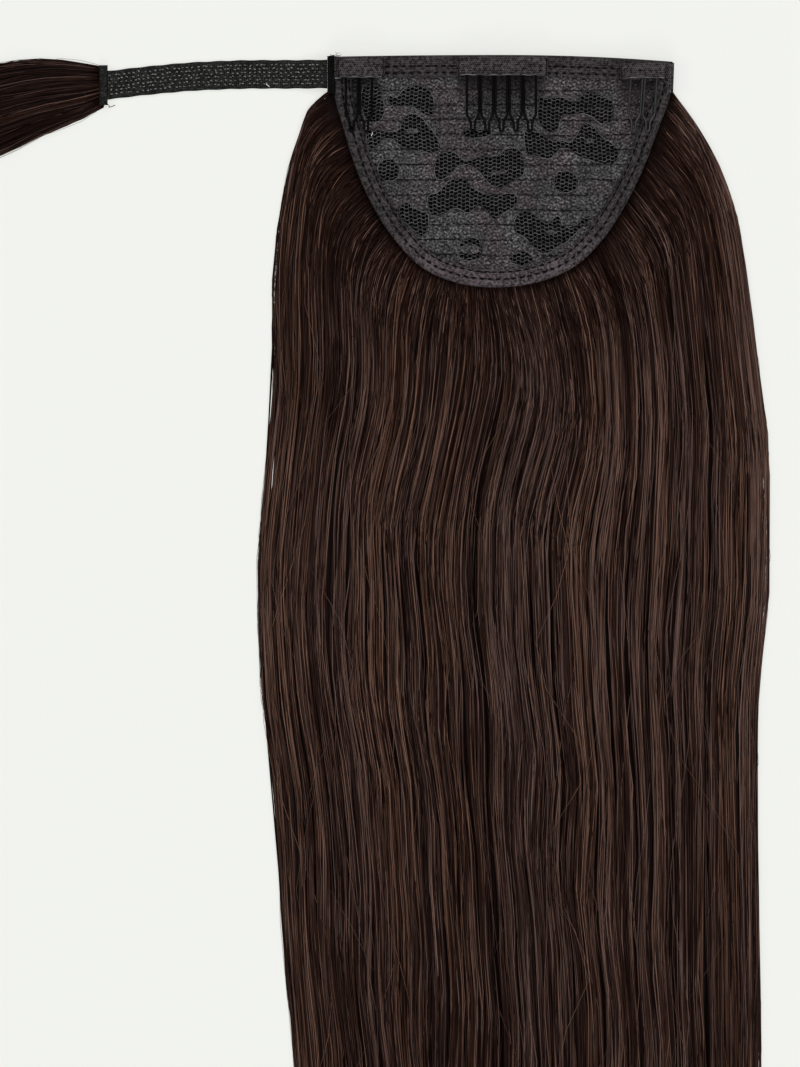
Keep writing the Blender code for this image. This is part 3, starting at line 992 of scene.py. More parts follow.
@dataclass(frozen=True)
class HairFall:
    """The long hair: a dark core under sheets of single strands that leave the cap's bound edge."""

    seed: int = 20
    wide: Locks = Locks(300, 27, 0.16, 0.21)
    narrow: Locks = Locks(400, 150, 0.46, 0.13)
    side_knee: float = 0.985
    foot: float = 0.4725
    root_inset: Span = (0.0006, 0.0034)
    root_scatter: float = 0.004
    reach_down: Span = (0.020, 0.044)
    reach_out: Span = (0.005, 0.024)
    arc_share: float = 0.36
    jitter: float = 0.00009
    ripple: float = 0.00026
    unevenness: float = 0.00010
    arch: float = 0.00030
    core_drop: float = 0.0017
    core_inset: float = 0.0032
    drift_y: tuple[float, ...] = (0.02, -0.03, -0.058, -0.082, -0.105, -0.126, -0.150, -0.180, -0.215, -0.26, -0.468)
    drift_x: tuple[float, ...] = (0.0, 0.0018, 0.0038, 0.0024, -0.0016, -0.0043, -0.0040, -0.0010, 0.0008, 0.0002, 0.0)
    # Painted light along the hair, a factor on every strand's tone by y: darker under and just below the cap as
    # painted shade, lighter further down as painted sheen.
    sheen_and_shade_y: tuple[float, ...] = (0.04, 0.0, -0.045, -0.075, -0.12, -0.17, -0.22, -0.28, -0.468)
    sheen_and_shade: tuple[float, ...] = (0.70, 0.74, 0.80, 0.98, 1.07, 1.10, 0.99, 0.92, 0.86)
    sheets: tuple[StrandSheet, ...] = (
        # The deeper sheets are given darker tones: painted shade of the hair's depth.
        StrandSheet("hair_strands_deep", 420, 0.0008, 0.0018, 0.00036, 12, tone=0.05, spread=0.05, pinch=0.3),
        StrandSheet("hair_strands_inner", 700, 0.0003, 0.0012, 0.00026, 16, stray=0.0002, tone=0.20, spread=0.13),
        StrandSheet(
            "hair_strands_outer", 980, -0.0001, 0.0005, 0.00018, 32,
            shares=((-0.003, 1.010),), stray=0.0003, tone=0.44, spread=0.24, beyond=0.012,
        ),
        StrandSheet(
            "hair_strands_fine", 980, -0.0003, 0.0003, 0.00012, 32,
            shares=((-0.003, 1.010),), stray=0.0004, tone=0.60, spread=0.26, beyond=0.012,
        ),
        StrandSheet(
            "hair_strands_beside_cap", 700, -0.0001, 0.0007, 0.00015, 12,
            shares=((0.0, 0.17), (0.83, 1.0)), ends=(-0.150, -0.060), fade=0.0014, tone=0.42, spread=0.26,
        ),
        StrandSheet(
            "hair_wisps", 110, -0.0002, 0.0007, 0.00006, 26,
            shares=((-0.003, 0.010), (0.990, 1.003)), stray=0.0012, tone=0.70, beyond=0.011,
        ),
        StrandSheet(
            "hair_flyaways", 30, -0.0007, -0.0002, 0.00008, 36,
            stray=0.0034, tone=0.92, spread=0.10, pinch=0.2, beyond=0.01,
        ),
        StrandSheet("hair_strands_underside", 260, 0.0002, 0.0009, 0.00034, 12, facing=Facing.DOWN, tone=0.36),
    )

    def build(self, strands: Finish, core: Finish) -> None:
        """Make the core and every sheet of strands."""
        add_piece("hair_core", self.core(), core, ["hair_fall"])
        for number, sheet in enumerate(self.sheets):
            generator = np.random.default_rng(self.seed + number)
            paths = self.paths(sheet, generator)
            add_piece(sheet.name, self.strand_tubes(sheet, *paths, generator), strands)

    def core(self) -> Surface:
        """The hair's form drawn in: lower by the drop below the cap, narrower by the inset."""
        y = np.concatenate([np.linspace(0.0370, -0.048, 22), np.linspace(-0.056, -0.440, 44)])
        left, right = FORM.sides(y)
        inset = 0.001 + (self.core_inset - 0.001) * eased(y, 0.03, 0.0)
        share = np.linspace(0.0, 1.0, 96)[:, None]
        x = (left + inset) * (1 - share) + (right - inset) * share
        y = np.broadcast_to(y, x.shape)
        side = 2 * share - 1
        drop = 0.0002 + (self.core_drop - 0.0002) * eased(y, 0.02, -0.06)
        groove = 0.0003 * np.sin(share * 110 + 1.5 * np.sin(y * 30)) * eased(y, 0.0, -0.05)
        high = FORM.top(x, y) - drop * (1 - 0.6 * side**8) + groove
        ending = eased(y, -0.440, -0.400)
        high = np.maximum(0.0007 + (high - 0.0007) * ending, 0.0007)
        low = np.full(x.shape, 0.0003)
        down = (0.0370 - y) / 0.477 * 0.96 + 0.02
        upper = np.stack(np.broadcast_arrays(share * 0.46 + 0.02, down), axis=2)
        lower = upper + [0.50, 0.0]
        return slab(x, y, low, high, (upper, lower))

    def root_share(self, share: Array) -> Array:
        """Where along the U a strand leaves it, for its share of the hair's width.

        The U's foot feeds one share. From there, with u the way to the hair's side, it is
        u + u^3 to the left and 1.45 u + 0.55 u^3 to the right, so the sides of the U feed less
        width than its foot.
        """
        share = np.clip(share, 0.0, 1.0)
        left = np.maximum(self.foot - share, 0.0) / self.foot
        right = np.maximum(share - self.foot, 0.0) / (1 - self.foot)
        return 0.5 - (left + left**3) / 4 + (1.45 * right + 0.55 * right**3) / 4

    def flow(self, share: Array, y: Array) -> Array:
        """Sideways places of the fall: a share of the width, and a drift in common.

        The drift is strongest a little left of the middle. It's a curve in y, to the right under
        the cap and then to the left, with two waves that neighbours have nearly alike.
        """
        left, right = FORM.sides(y)
        inner = np.sin(math.pi * np.clip(share, 0.0, 1.0)) ** 0.8 * (1.25 - 0.65 * share)
        waves = 0.0011 * np.sin(TAU * y / 0.105 + 8.0 * share + 2.1)
        waves = waves + 0.0007 * wave_along(y, 0.060, 19.0 * share)
        return left + (right - left) * share + inner * (through(y, self.drift_y, self.drift_x) + waves)

    def paths(self, sheet: StrandSheet, generator: Chance) -> Pair:
        """Paths of a sheet's strands.

        Each leaves the cap's edge nearly square to it, bends along a cubic Bezier curve into the
        hair's fall, and goes on down at its share of the hair's width, drawn towards the middle of
        its locks, with sway in common and a wave of its own.

        Args:
            sheet: what the sheet is.
            generator: source of the strands' differences.

        Returns:
            Each strand's share of the width, and points of shape (strands, steps + 1, 3).
        """
        count = sheet.count
        spans = np.array(sheet.shares)
        lengths = spans[:, 1] - spans[:, 0]
        starts = np.concatenate([[0.0], np.cumsum(lengths)])
        at = (np.arange(count) + generator.random(count)) / count * starts[-1]
        which = np.clip(np.searchsorted(starts, at, side="right") - 1, 0, len(spans) - 1)
        share = spans[which, 0] + at - starts[which]
        root, out = self.roots(share, generator)
        reach_down = generator.uniform(*self.reach_down, count)
        join_y = root[:, 1] - reach_down
        join = np.stack([self.flow(share, join_y), join_y], axis=1)
        slant = (self.flow(share, join_y + 0.001) - join[:, 0]) / 0.001
        aside = np.abs(join[:, 0] - root[:, 0])
        reach = np.clip(aside * generator.uniform(0.85, 1.20, count), *self.reach_out)
        steeper = np.stack([np.zeros(count), 0.16 + 0.50 * eased(share, 0.45, 0.75)], axis=1)
        heading = out - steeper + generator.normal(0.0, 0.08, (count, 2))
        first = root + unit(heading) * reach[:, None]
        second = join + np.stack([slant, np.ones(count)], axis=1) * (0.42 * reach_down)[:, None]
        arc_steps = max(6, int(sheet.steps * self.arc_share))
        t = np.linspace(0.0, 1.0, arc_steps + 1)[None, :, None]
        arc = (
            (1 - t) ** 3 * root[:, None]
            + 3 * (1 - t) ** 2 * t * first[:, None]
            + 3 * (1 - t) * t**2 * second[:, None]
            + t**3 * join[:, None]
        )
        end = generator.uniform(*sheet.ends, count)
        side = np.abs(2 * share - 1)
        end = end + np.where(end < -0.40, 0.030 * side**3, 0.0)
        down = np.linspace(0.0, 1.0, sheet.steps - arc_steps + 1)[1:] ** 1.12
        y = join_y[:, None] + (end - join_y)[:, None] * down[None, :]
        x = self.fallen(sheet, share, join_y, y, generator)
        plan = np.concatenate([arc, np.stack([x, y], axis=2)], axis=1)
        jitter = generator.normal(0.0, self.jitter, plan.shape[:2]) * eased(np.arange(plan.shape[1]), 2.0, 8.0)
        plan[..., 0] = self.within_sides(plan[..., 0] + jitter, plan[..., 1], sheet.beyond)
        height = self.heights(sheet, share, plan, generator)
        return share, np.concatenate([plan, height[..., None]], axis=2)

    def roots(self, share: Array, generator: Chance) -> Pair:
        """Where strands start, a little inside the U, and the way out there."""
        edge = OUTLINE.edge(801)
        inward = OUTLINE.inward(edge)
        at = self.root_share(share) + generator.normal(0.0, self.root_scatter, len(share))
        at = np.clip(at, 0.0, 1.0) * (len(edge) - 1)
        number = np.arange(len(edge))
        root = np.stack([np.interp(at, number, edge[:, axis]) for axis in (0, 1)], axis=1)
        way = np.stack([np.interp(at, number, inward[:, axis]) for axis in (0, 1)], axis=1)
        inset = generator.uniform(*self.root_inset, len(share))
        return root + way * inset[:, None], -way

    def fallen(self, sheet: StrandSheet, share: Array, join_y: Array, y: Array, generator: Chance) -> Array:
        """Sideways places of strands below where they join the fall."""
        count = len(share)
        grown = eased(join_y[:, None] - y, 0.0, 0.050)
        pull = (self.wide.pull(share, y) + self.narrow.pull(share, y)) * grown * sheet.pinch
        own = sheet.stray * generator.gamma(2.0, 0.5, count)[:, None]
        length = generator.uniform(0.05, 0.19, count)[:, None]
        turn = generator.uniform(0.0, TAU, count)[:, None]
        return self.flow(share[:, None] + pull, y) + grown * own * wave_along(y, length, turn)

    def within_sides(self, x: Array, y: Array, beyond: float) -> Array:
        """Sideways places, drawn in softly where they pass the hair's sides.

        With s the way from the middle to the side, and r = 1 + beyond - k the room past the knee k,
        s becomes k + r (1 - exp(-(s - k) / r)) past the knee.

        Args:
            x: the places.
            y: where along the hair they are.
            beyond: how far past the side the farthest may be, as a share of the half width.

        Returns:
            The new x.
        """
        left, right = FORM.sides(y)
        middle, half = (left + right) / 2, (right - left) / 2
        side = (x - middle) / half
        room = 1 + beyond - self.side_knee
        past = np.maximum(np.abs(side) - self.side_knee, 0.0)
        drawn = np.minimum(np.abs(side), self.side_knee) + room * (1 - np.exp(-past / room))
        return middle + half * np.sign(side) * drawn

    def heights(self, sheet: StrandSheet, share: Array, plan: Array, generator: Chance) -> Array:
        """Heights of strands: the hair's top less their depth, rippling, and deeper at the root."""
        count, steps, _ = plan.shape
        depth = generator.uniform(sheet.shallow, sheet.deep, count)[:, None]
        along = np.linspace(0.0, 1.0, steps)[None, :]
        x, y = plan[..., 0], plan[..., 1]
        if sheet.facing is Facing.DOWN:
            return np.broadcast_to(np.maximum(depth, sheet.radius * CLEAR), x.shape)
        length = generator.uniform(0.06, 0.15, count)[:, None]
        turn = generator.uniform(0.0, TAU, count)[:, None]
        ripple = self.ripple * wave_along(y, length, turn) * eased(along, 0.05, 0.25)
        settled = eased(along, 0.10, 0.35)
        lift = self.narrow.spread(2, -0.0005, 0.0003)[self.narrow.of(share)]
        lift = (lift + self.wide.spread(2, -0.0003, 0.0002)[self.wide.of(share)])[:, None] * settled
        sunk = 0.0004 * (1 - eased(along, 0.0, 0.06)) + sheet.fade * eased(along, 0.45, 1.0)
        fine = generator.normal(0.0, self.unevenness, plan.shape[:2])
        arch = self.arch * self.narrow.off_middle(share)[:, None] ** 2 * settled
        height = FORM.top(x, y) - depth + ripple + lift - sunk + fine - arch
        return np.maximum(height, sheet.radius * CLEAR)

    @staticmethod
    def rim(share: Array, y: Array) -> Array:
        """Painted highlight: how much lighter the strands are made at the hair's two shoulders and at its right edge.
        """
        rim = np.clip(np.abs(2 * share - 1) - 0.80, 0.0, 0.2)[:, None] * 5 * eased(y, -0.12, -0.02)
        rim = rim * np.where(share > 0.5, 1.5, 0.8)[:, None]
        return rim + 4.0 * eased(share, 0.950, 1.0)[:, None] * (0.20 + 0.80 * eased(y, -0.24, -0.10))

    def strand_tubes(self, sheet: StrandSheet, share: Array, paths: Array, generator: Chance) -> Surface:
        """Three-sided tubes along the paths, finer at the tips, with tones that vary along them.

        A strand's tone is partly its locks' and partly its own, darker towards its lock's edges as painted shade. It
        is lighter and darker in a slow wave that its lock has in common, as painted glints, and by the hair's painted
        sheen and shade at that y, with painted highlight at the shoulders and painted shade near the root.
        """
        count, steps, _ = paths.shape
        y = paths[..., 1]
        narrow, wide = self.narrow.of(share), self.wide.of(share)
        shared = self.narrow.spread(3, -1.6, 1.6)[narrow] * 0.34 + self.wide.spread(3, -1.6, 1.6)[wide] * 0.14
        # Strands towards their lock's edge are made darker: painted shade.
        shared = shared + 0.55 - 0.95 * self.narrow.off_middle(share)
        # A little lighter towards the right side of the hair: painted light.
        side = 0.05 * np.exp(-(((share - 0.84) / 0.12) ** 2)) - 0.02
        tone = sheet.tone + side + sheet.spread * (shared + 0.95 * generator.normal(0.0, 1.0, count))
        phase = (self.narrow.spread(4, 0.0, 6.3)[narrow] + generator.normal(0.0, 1.1, count))[:, None]
        # The slow wave along each strand is painted glints.
        wave = wave_along(y, 0.050, phase) + 0.6 * wave_along(y, 0.15, 2.3 * phase)
        wave = 0.18 * wave + 0.22 * generator.normal(0.0, 1.0, y.shape)
        tones = (tone[:, None] + 0.10 * self.rim(share, y)) * (1 + wave) * through(y, self.sheen_and_shade_y, self.sheen_and_shade)
        # Darker near the root, under the cap's edge: painted shade.
        tones = tones * (0.45 + 0.55 * eased(np.arange(steps) / sheet.steps, 0.0, 0.10))
        warmth = 0.48 + self.wide.spread(5, -0.30, 0.30)[wide] + self.narrow.spread(5, -0.20, 0.20)[narrow]
        warmth = warmth + generator.normal(0.0, 0.32, count)
        warmths = warmth[:, None] + 0.15 * wave_along(y, 0.09, phase)
        along = np.linspace(0.0, 1.0, steps)[None, :]
        own = generator.uniform(0.70, 1.25, count)[:, None]
        radii = sheet.radius * own * (1 - 0.75 * eased(along, 0.93, 1.0))
        lean = generator.uniform(0.0, TAU, count)
        return tubes(paths, radii, 3, np.clip(tones, 0.02, 1.0), warmths, lean=lean)


class StrandSection(NamedTuple):
    """One crossing of the wrap strand, at x."""

    x: float
    middle: float
    width: float
    thick: float


@dataclass(frozen=True)
class WrapStrand:
    """The strand that is wound round the ponytail: it fans out from its seam and narrows to a point."""

    seed: int = 71
    clumps: int = 14        # in each half of the width
    starts: Span = (-0.1424, -0.1402)
    tips: Span = (-0.3215, -0.2850)
    core_start: float = -0.1430
    core_length: float = 0.165
    edge: float = 0.0010
    crown_power: float = 2.6
    sections: tuple[StrandSection, ...] = table(
        StrandSection,
        (-0.1424, 0.0302, 0.0140, 0.0034), (-0.1484, 0.0286, 0.0196, 0.0052), (-0.1589, 0.0272, 0.0248, 0.0070),
        (-0.1764, 0.0226, 0.0318, 0.0085), (-0.2000, 0.0150, 0.0335, 0.0088), (-0.2300, 0.0042, 0.0300, 0.0078),
        (-0.2600, -0.0078, 0.0235, 0.0062), (-0.2900, -0.0200, 0.0155, 0.0045), (-0.3120, -0.0290, 0.0085, 0.0030),
        (-0.3220, -0.0330, 0.0040, 0.0020),
    )

    def build(self, strands: Finish, core: Finish) -> None:
        """Make the core and the strands."""
        add_piece("wrap_core", self.core(), core, ["wrap_strand"])
        generator = np.random.default_rng(self.seed)
        inner = self.strands(230, (0.0003, 0.0012), 0.00028, 0.06, 0.0003, generator)
        outer = self.strands(380, (-0.0001, 0.0006), 0.00014, 0.27, 0.0005, generator)
        loose = self.strands(26, (-0.0006, 0.0002), 0.00007, 0.56, 0.0026, generator)
        under = self.strands(90, (0.9, 0.9), 0.00030, 0.26, 0.0003, generator)
        add_piece("wrap_strands", joined([inner, outer, loose, under]), strands)

    def along(self, x: Array) -> tuple[Array, Array, Array]:
        """The strand's middle, width and thickness at x."""
        return read_off(self.sections, x, "middle", "width", "thick")

    def top(self, side: Array, thick: Array) -> Array:
        """Height of the upper side, a crown 1 - |side|^power high."""
        side = np.clip(np.abs(side), 0.0, 1.0)
        return self.edge + (thick - self.edge) * (1 - side**self.crown_power)

    def core(self) -> Surface:
        """The strand's form drawn in on all sides."""
        x = np.linspace(self.core_start, self.core_start - self.core_length, 42)
        middle, width, thick = self.along(x)
        side = np.linspace(-1.0, 1.0, 30)[:, None]
        y = middle + side * (width / 2 - 0.0016)
        high = np.maximum(self.top(side, thick) - 0.0013 + 0.0002 * np.sin(side * 50 + 40 * x), 0.0008)
        x = np.broadcast_to(x, y.shape)
        across = (side + 1) * 0.23 + 0.02
        down = (self.core_start - x) / self.core_length * 0.96 + 0.02
        upper = np.stack(np.broadcast_arrays(across, down), axis=2)
        return slab(x, y, np.full(y.shape, 0.0003), high, (upper, upper + [0.50, 0.0]))

    def strands(
        self, count: int, depths: Span, radius: float, tone: float, stray: float, generator: Chance
    ) -> Surface:
        """Strands from the seam to the tip, each at its own share of the width.

        Args:
            count: how many.
            depths: shallowest and deepest below the form's top, or both 0.9 for the underside.
            radius: radius of a strand.
            tone: middle of their tones.
            stray: how far each wanders from its place.
            generator: source of the strands' differences.

        Returns:
            The strands as tubes.
        """
        side = (np.arange(count) + generator.random(count)) / count * 2 - 1
        side = (side * (1 + 50.0 * stray))[:, None]
        clump = ((side + 1) * self.clumps).astype(int)
        centre = (clump + 0.5) / self.clumps - 1
        start = generator.uniform(*self.starts, count)[:, None]
        end = generator.uniform(*self.tips, count)[:, None]
        t = np.linspace(0.0, 1.0, 19)[None, :] ** 1.15
        x = start + (end - start) * t
        middle, width, thick = self.along(x)
        phase = clump * 2.4
        pinch = eased(t, 0.05, 0.3) * (0.30 + 0.25 * wave_along(x, 0.09, phase))
        place = side + (centre - side) * pinch
        own = stray * generator.gamma(2.0, 0.5, count)[:, None]
        length = generator.uniform(0.07, 0.16, count)[:, None]
        turn = generator.uniform(0.0, TAU, count)[:, None]
        grown = eased(t, 0.02, 0.25)
        sway = 0.0008 * wave_along(x, 0.11, 3.0 * side)
        y = middle + place * width / 2 + grown * (own * wave_along(x, length, turn) + sway)
        under = depths[0] == depths[1]
        depth = generator.uniform(*depths, count)[:, None]
        ripple = 0.00022 * wave_along(x, 0.08, turn) * grown
        height = self.top(place, thick) - depth + ripple - 0.0008 * (1 - eased(t, 0.0, 0.05))
        if under:
            height = np.broadcast_to(generator.uniform(0.0003, 0.0009, count)[:, None], x.shape)
        height = np.maximum(height, radius * CLEAR)
        radii = radius * generator.uniform(0.75, 1.2, count)[:, None] * (1 - 0.7 * eased(t, 0.92, 1.0))
        tones = tone + 0.22 * generator.normal(0.0, 1.0, (count, 1)) + 0.09 * wave_along(x, 0.06, phase)
        warmth = 0.4 + 0.25 * np.sin(5.0 * clump) + generator.normal(0.0, 0.2, (count, 1))
        lean = generator.uniform(0.0, TAU, count)
        return tubes(xyz(x, y, height), radii, 3, np.clip(tones, 0.02, 1.0), warmth, lean=lean)


# The cap


class Knot(NamedTuple):
    """A small dense oval inside a window: its middle, half axes and turn, in millimetres and degrees."""

    x: float
    y: float
    half_long: float
    half_short: float
    turn: float = 0.0


@dataclass(frozen=True)
class Lace:
    """The lace panel: dense cloud shapes, windows of open net, and a raised thread round each window.

    The windows are charted in tenths of a millimetre in the cap's plan, x and y in turn.
    """

    step: float = 0.66 * MM
    thickness: float = 0.0006
    inset: float = 0.0024
    sunk: float = 0.00020
    proud: float = 0.00002
    stitch_step: float = 0.0023
    stitch_length: float = 0.0015
    stitch_radius: float = 0.00018
    bend: NetBend = NetBend()
    yarn: float = 0.19 * MM
    cord: float = 0.15 * MM
    windows: tuple[tuple[int, ...], ...] = (
        (-494, 308, -448, 315, -424, 269, -417, 210, -434, 175, -476, 175, -497, 217, -501, 270),
        (
            -410, 277, -378, 256, -350, 294, -322, 308, -280, 301, -252, 280, -242, 238, -245, 196, -273, 196,
            -298, 217, -336, 235, -378, 231, -410, 238,
        ),
        (
            -347, 196, -319, 210, -291, 196, -270, 168, -245, 140, -224, 102, -224, 74, -252, 63, -294, 70, -336, 81,
            -371, 95, -392, 119, -427, 118, -445, 79, -473, 84, -483, 126, -483, 156, -434, 145, -382, 140, -361, 154,
            -357, 179,
        ),
        (-441, 25, -424, 42, -396, 46, -375, 28, -364, 0, -371, -25, -403, -35, -427, -25, -441, -7),
        (
            -245, 7, -238, 39, -221, 67, -193, 74, -165, 63, -147, 42, -119, 39, -91, 49, -67, 60, -49, 49, -18, 60,
            7, 81, 39, 88, 60, 70, 70, 32, 70, -14, 42, -28, 14, -42, -14, -60, -42, -53, -67, -28, -91, 4, -123, 25,
            -151, 25, -179, 4, -200, -18, -224, -32, -242, -21,
        ),
        (
            -221, -63, -203, -39, -175, -25, -144, -21, -126, -39, -109, -60, -81, -74, -49, -84, -7, -81, 32, -74,
            49, -91, 42, -119, 14, -137, -18, -158, -35, -172, -53, -147, -74, -123, -91, -119, -112, -137,
            -130, -150, -154, -130, -182, -130, -203, -144, -224, -158, -256, -158, -266, -123, -270, -91, -259, -81,
            -238, -77,
        ),
        (
            -368, -137, -357, -112, -336, -105, -319, -126, -294, -137, -266, -144, -263, -175, -270, -210,
            -291, -231, -315, -207, -343, -182, -364, -158,
        ),
        (-154, -249, -133, -231, -98, -231, -77, -256, -77, -294, -98, -312, -144, -315, -165, -294),
        (
            119, 266, 144, 259, 182, 262, 207, 266, 238, 245, 259, 252, 280, 280, 308, 287, 336, 270, 378, 259,
            385, 224, 382, 182, 357, 165, 329, 175, 308, 196, 280, 207, 252, 203, 224, 200, 203, 203, 196, 175,
            189, 147, 168, 137, 144, 147, 123, 168, 116, 210,
        ),
        (
            70, 154, 98, 140, 126, 140, 154, 112, 196, 112, 231, 102, 249, 119, 266, 147, 277, 175, 308, 168,
            329, 140, 350, 116, 378, 102, 399, 77, 399, 49, 385, 28, 350, 25, 308, 39, 266, 49, 242, 70, 221, 84,
            196, 81, 175, 56, 151, 42, 112, 56, 84, 60, 70, 91,
        ),
        (175, -14, 189, 0, 221, 4, 249, -11, 263, -35, 256, -63, 224, -74, 196, -77, 175, -53),
        (
            32, -210, 35, -175, 46, -147, 67, -133, 95, -144, 119, -165, 144, -179, 168, -172, 182, -151, 200, -165,
            200, -189, 231, -196, 259, -182, 280, -161, 308, -147, 294, -175, 266, -203, 238, -228, 214, -249,
            182, -266, 154, -287, 130, -291, 105, -270, 84, -242, 56, -224,
        ),
        (14, -305, 35, -287, 60, -277, 84, -287, 105, -308, 88, -322, 63, -336, 42, -329, 18, -315),
        (-147, 147, -119, 158, -84, 147, -49, 154, -39, 133, -63, 123, -105, 116, -140, 123),
    )
    knots: tuple[Knot, ...] = (
        Knot(-31.9, 14.4, 2.4, 0.9),
        Knot(-11.9, -27.3, 3.6, 1.7),
        Knot(-2.1, -0.4, 3.2, 0.7, 8.0),
        Knot(30.1, 10.9, 1.6, 0.9),
        Knot(16.5, -21.4, 1.9, 0.9),
    )

    def build(self, finishes: Finishes) -> None:
        """Make the panel, its net, the threads round its windows and the weft rows' stitches."""
        panel = add_piece("lace_panel", self.cloth(), finishes["lace"], ["lace_base"], CLOTH_MAP)
        net = add_piece("lace_net", self.net(), finishes["yarn"])
        outline = add_piece("lace_outline_cord", self.window_cord(), finishes["cord"])
        stitches = add_piece("weft_stitches", self.weft_stitches(), finishes["sewing"])
        left, right = OUTLINE.half_widths(np.linspace(-0.040, 0.039, 80), 0.0)

    @staticmethod
    def within(outline: Array, x: Array, y: Array) -> Array:
        """Signed distance from a closed outline, positive inside, in the outline's own units.

        A place is inside where a ray to the left crosses an odd number of the outline's sides.
        """
        a, b = outline, np.roll(outline, -1, axis=0)
        dx, dy = x[:, None] - a[:, 0], y[:, None] - a[:, 1]
        side = b - a
        share = np.clip((dx * side[:, 0] + dy * side[:, 1]) / (side**2).sum(axis=1), 0.0, 1.0)
        away = np.hypot(dx - share * side[:, 0], dy - share * side[:, 1]).min(axis=1)
        spans = (a[:, 1] > y[:, None]) != (b[:, 1] > y[:, None])
        cross = a[:, 0] + (y[:, None] - a[:, 1]) * side[:, 0] / np.where(side[:, 1] == 0, 1e-9, side[:, 1])
        odd = (spans & (cross < x[:, None])).sum(axis=1) % 2 == 1
        return np.where(odd, away, -away)

    @staticmethod
    def softened(window: Sequence[int]) -> Array:
        """A window's outline in millimetres, its corners cut twice at a quarter and three quarters of each side."""
        outline = np.reshape(window, (-1, 2)) / 10
        for _ in range(2):
            after = np.roll(outline, -1, axis=0)
            pairs = np.stack([outline * 0.75 + after * 0.25, outline * 0.25 + after * 0.75], axis=1)
            outline = pairs.reshape(-1, 2)
        return outline

    def in_window(self, x: Array, y: Array) -> Array:
        """Signed distance from the nearest window's outline, positive in the window, in millimetres."""
        value = np.full(x.shape, -2.0)
        for window in self.windows:
            outline = self.softened(window)
            low, high = outline.min(axis=0) - 2.0, outline.max(axis=0) + 2.0
            near = (x > low[0]) & (x < high[0]) & (y > low[1]) & (y < high[1])
            value[near] = np.maximum(value[near], self.within(outline, x[near], y[near]))
        return value + 0.10 * np.sin(x * 2.4 + 1.7 * np.sin(y * 1.9))

    def openness(self, x: Array, y: Array) -> Array:
        """The same in metres with the knots cut out: positive in open net, negative in dense cloth."""
        shape = np.shape(x)
        x, y = np.ravel(x) / MM, np.ravel(y) / MM
        value = self.in_window(x, y)
        for knot in self.knots:
            angle = math.radians(knot.turn)
            u = ((x - knot.x) * math.cos(angle) + (y - knot.y) * math.sin(angle)) / knot.half_long
            v = ((y - knot.y) * math.cos(angle) - (x - knot.x) * math.sin(angle)) / knot.half_short
            value = np.minimum(value, (u * u + v * v - 1) * knot.half_short / 2)
        return value.reshape(shape) * MM

    def inside(self, x: Array, y: Array) -> Array:
        """Whether places are inside the cap's outline, drawn in so that its edge is under the tapes."""
        left, right = OUTLINE.half_widths(y, self.inset)
        return (x > left) & (x < right) & (y < OUTLINE.band_top(x) - self.inset)

    def onto_outline(self, x: Array, y: Array, which: Array) -> Pair:
        """The chosen places moved onto the windows' outline by two Newton steps down the slope."""
        small = 0.02 * MM
        for _ in range(2):
            value = self.openness(x, y)
            slope_x = (self.openness(x + small, y) - self.openness(x - small, y)) / (2 * small)
            slope_y = (self.openness(x, y + small) - self.openness(x, y - small)) / (2 * small)
            steep = np.maximum(slope_x**2 + slope_y**2, 0.05)
            share = np.where(which, np.clip(value / steep, -self.step, self.step), 0.0)
            x, y = x - share * slope_x, y - share * slope_y
        return x, y

    def woven(self) -> tuple[Array, Array, Array]:
        """The dense cloth's grid of places, and which of its cells are cloth."""
        x, y = np.meshgrid(np.arange(-0.0600, 0.0600, self.step), np.arange(-0.0410, 0.0410, self.step))
        cx, cy = x[:-1, :-1] + self.step / 2, y[:-1, :-1] + self.step / 2
        in_cap = self.inside(cx, cy)
        cells = in_cap & (self.openness(cx, cy) < 0)
        padded = np.pad(cells, 1)
        near_window = np.pad(in_cap & ~cells, 1)
        touches = [(0, 0), (0, 1), (1, 0), (1, 1)]
        rows, columns = x.shape
        some_cloth = np.any([padded[i : i + rows, j : j + columns] for i, j in touches], axis=0)
        some_window = np.any([near_window[i : i + rows, j : j + columns] for i, j in touches], axis=0)
        x, y = self.onto_outline(x, y, some_cloth & some_window)
        return x, y, cells

    def cloth(self) -> Surface:
        """The dense cloth: the grid's cloth cells above and below, and walls where they end."""
        x, y, cells = self.woven()
        quads = grid_quads(*x.shape)[cells.ravel()]
        sides = sides_of(quads)
        _, first, count = np.unique(np.sort(sides, axis=1), axis=0, return_index=True, return_counts=True)
        rim = sides[first[count == 1]]
        ground = FORM.top(x, y)
        relief = 0.00010 * np.sin(x * 2600 + 1.2 * np.sin(y * 2100)) + 0.00012 * np.sin(x * 310 + y * 260)
        high = (ground + LAYERS.lace_high - self.sunk + relief).ravel()
        low = high - self.thickness
        plan = np.stack([x.ravel(), y.ravel()], axis=1)
        total = len(plan)
        points = np.vstack([np.column_stack([plan, high]), np.column_stack([plan, low])])
        walls = np.stack([rim[:, 1], rim[:, 0], rim[:, 0] + total, rim[:, 1] + total], axis=1)
        faces = [quads, quads[:, ::-1] + total, walls]
        used, place = np.unique(np.concatenate([f.ravel() for f in faces]), return_inverse=True)
        sizes = np.cumsum([f.size for f in faces])[:-1]
        faces = [part.reshape(-1, 4) for part in np.split(place.ravel(), sizes)]
        return Surface(points[used], faces, np.vstack([plan, plan])[used] / MM).outward()

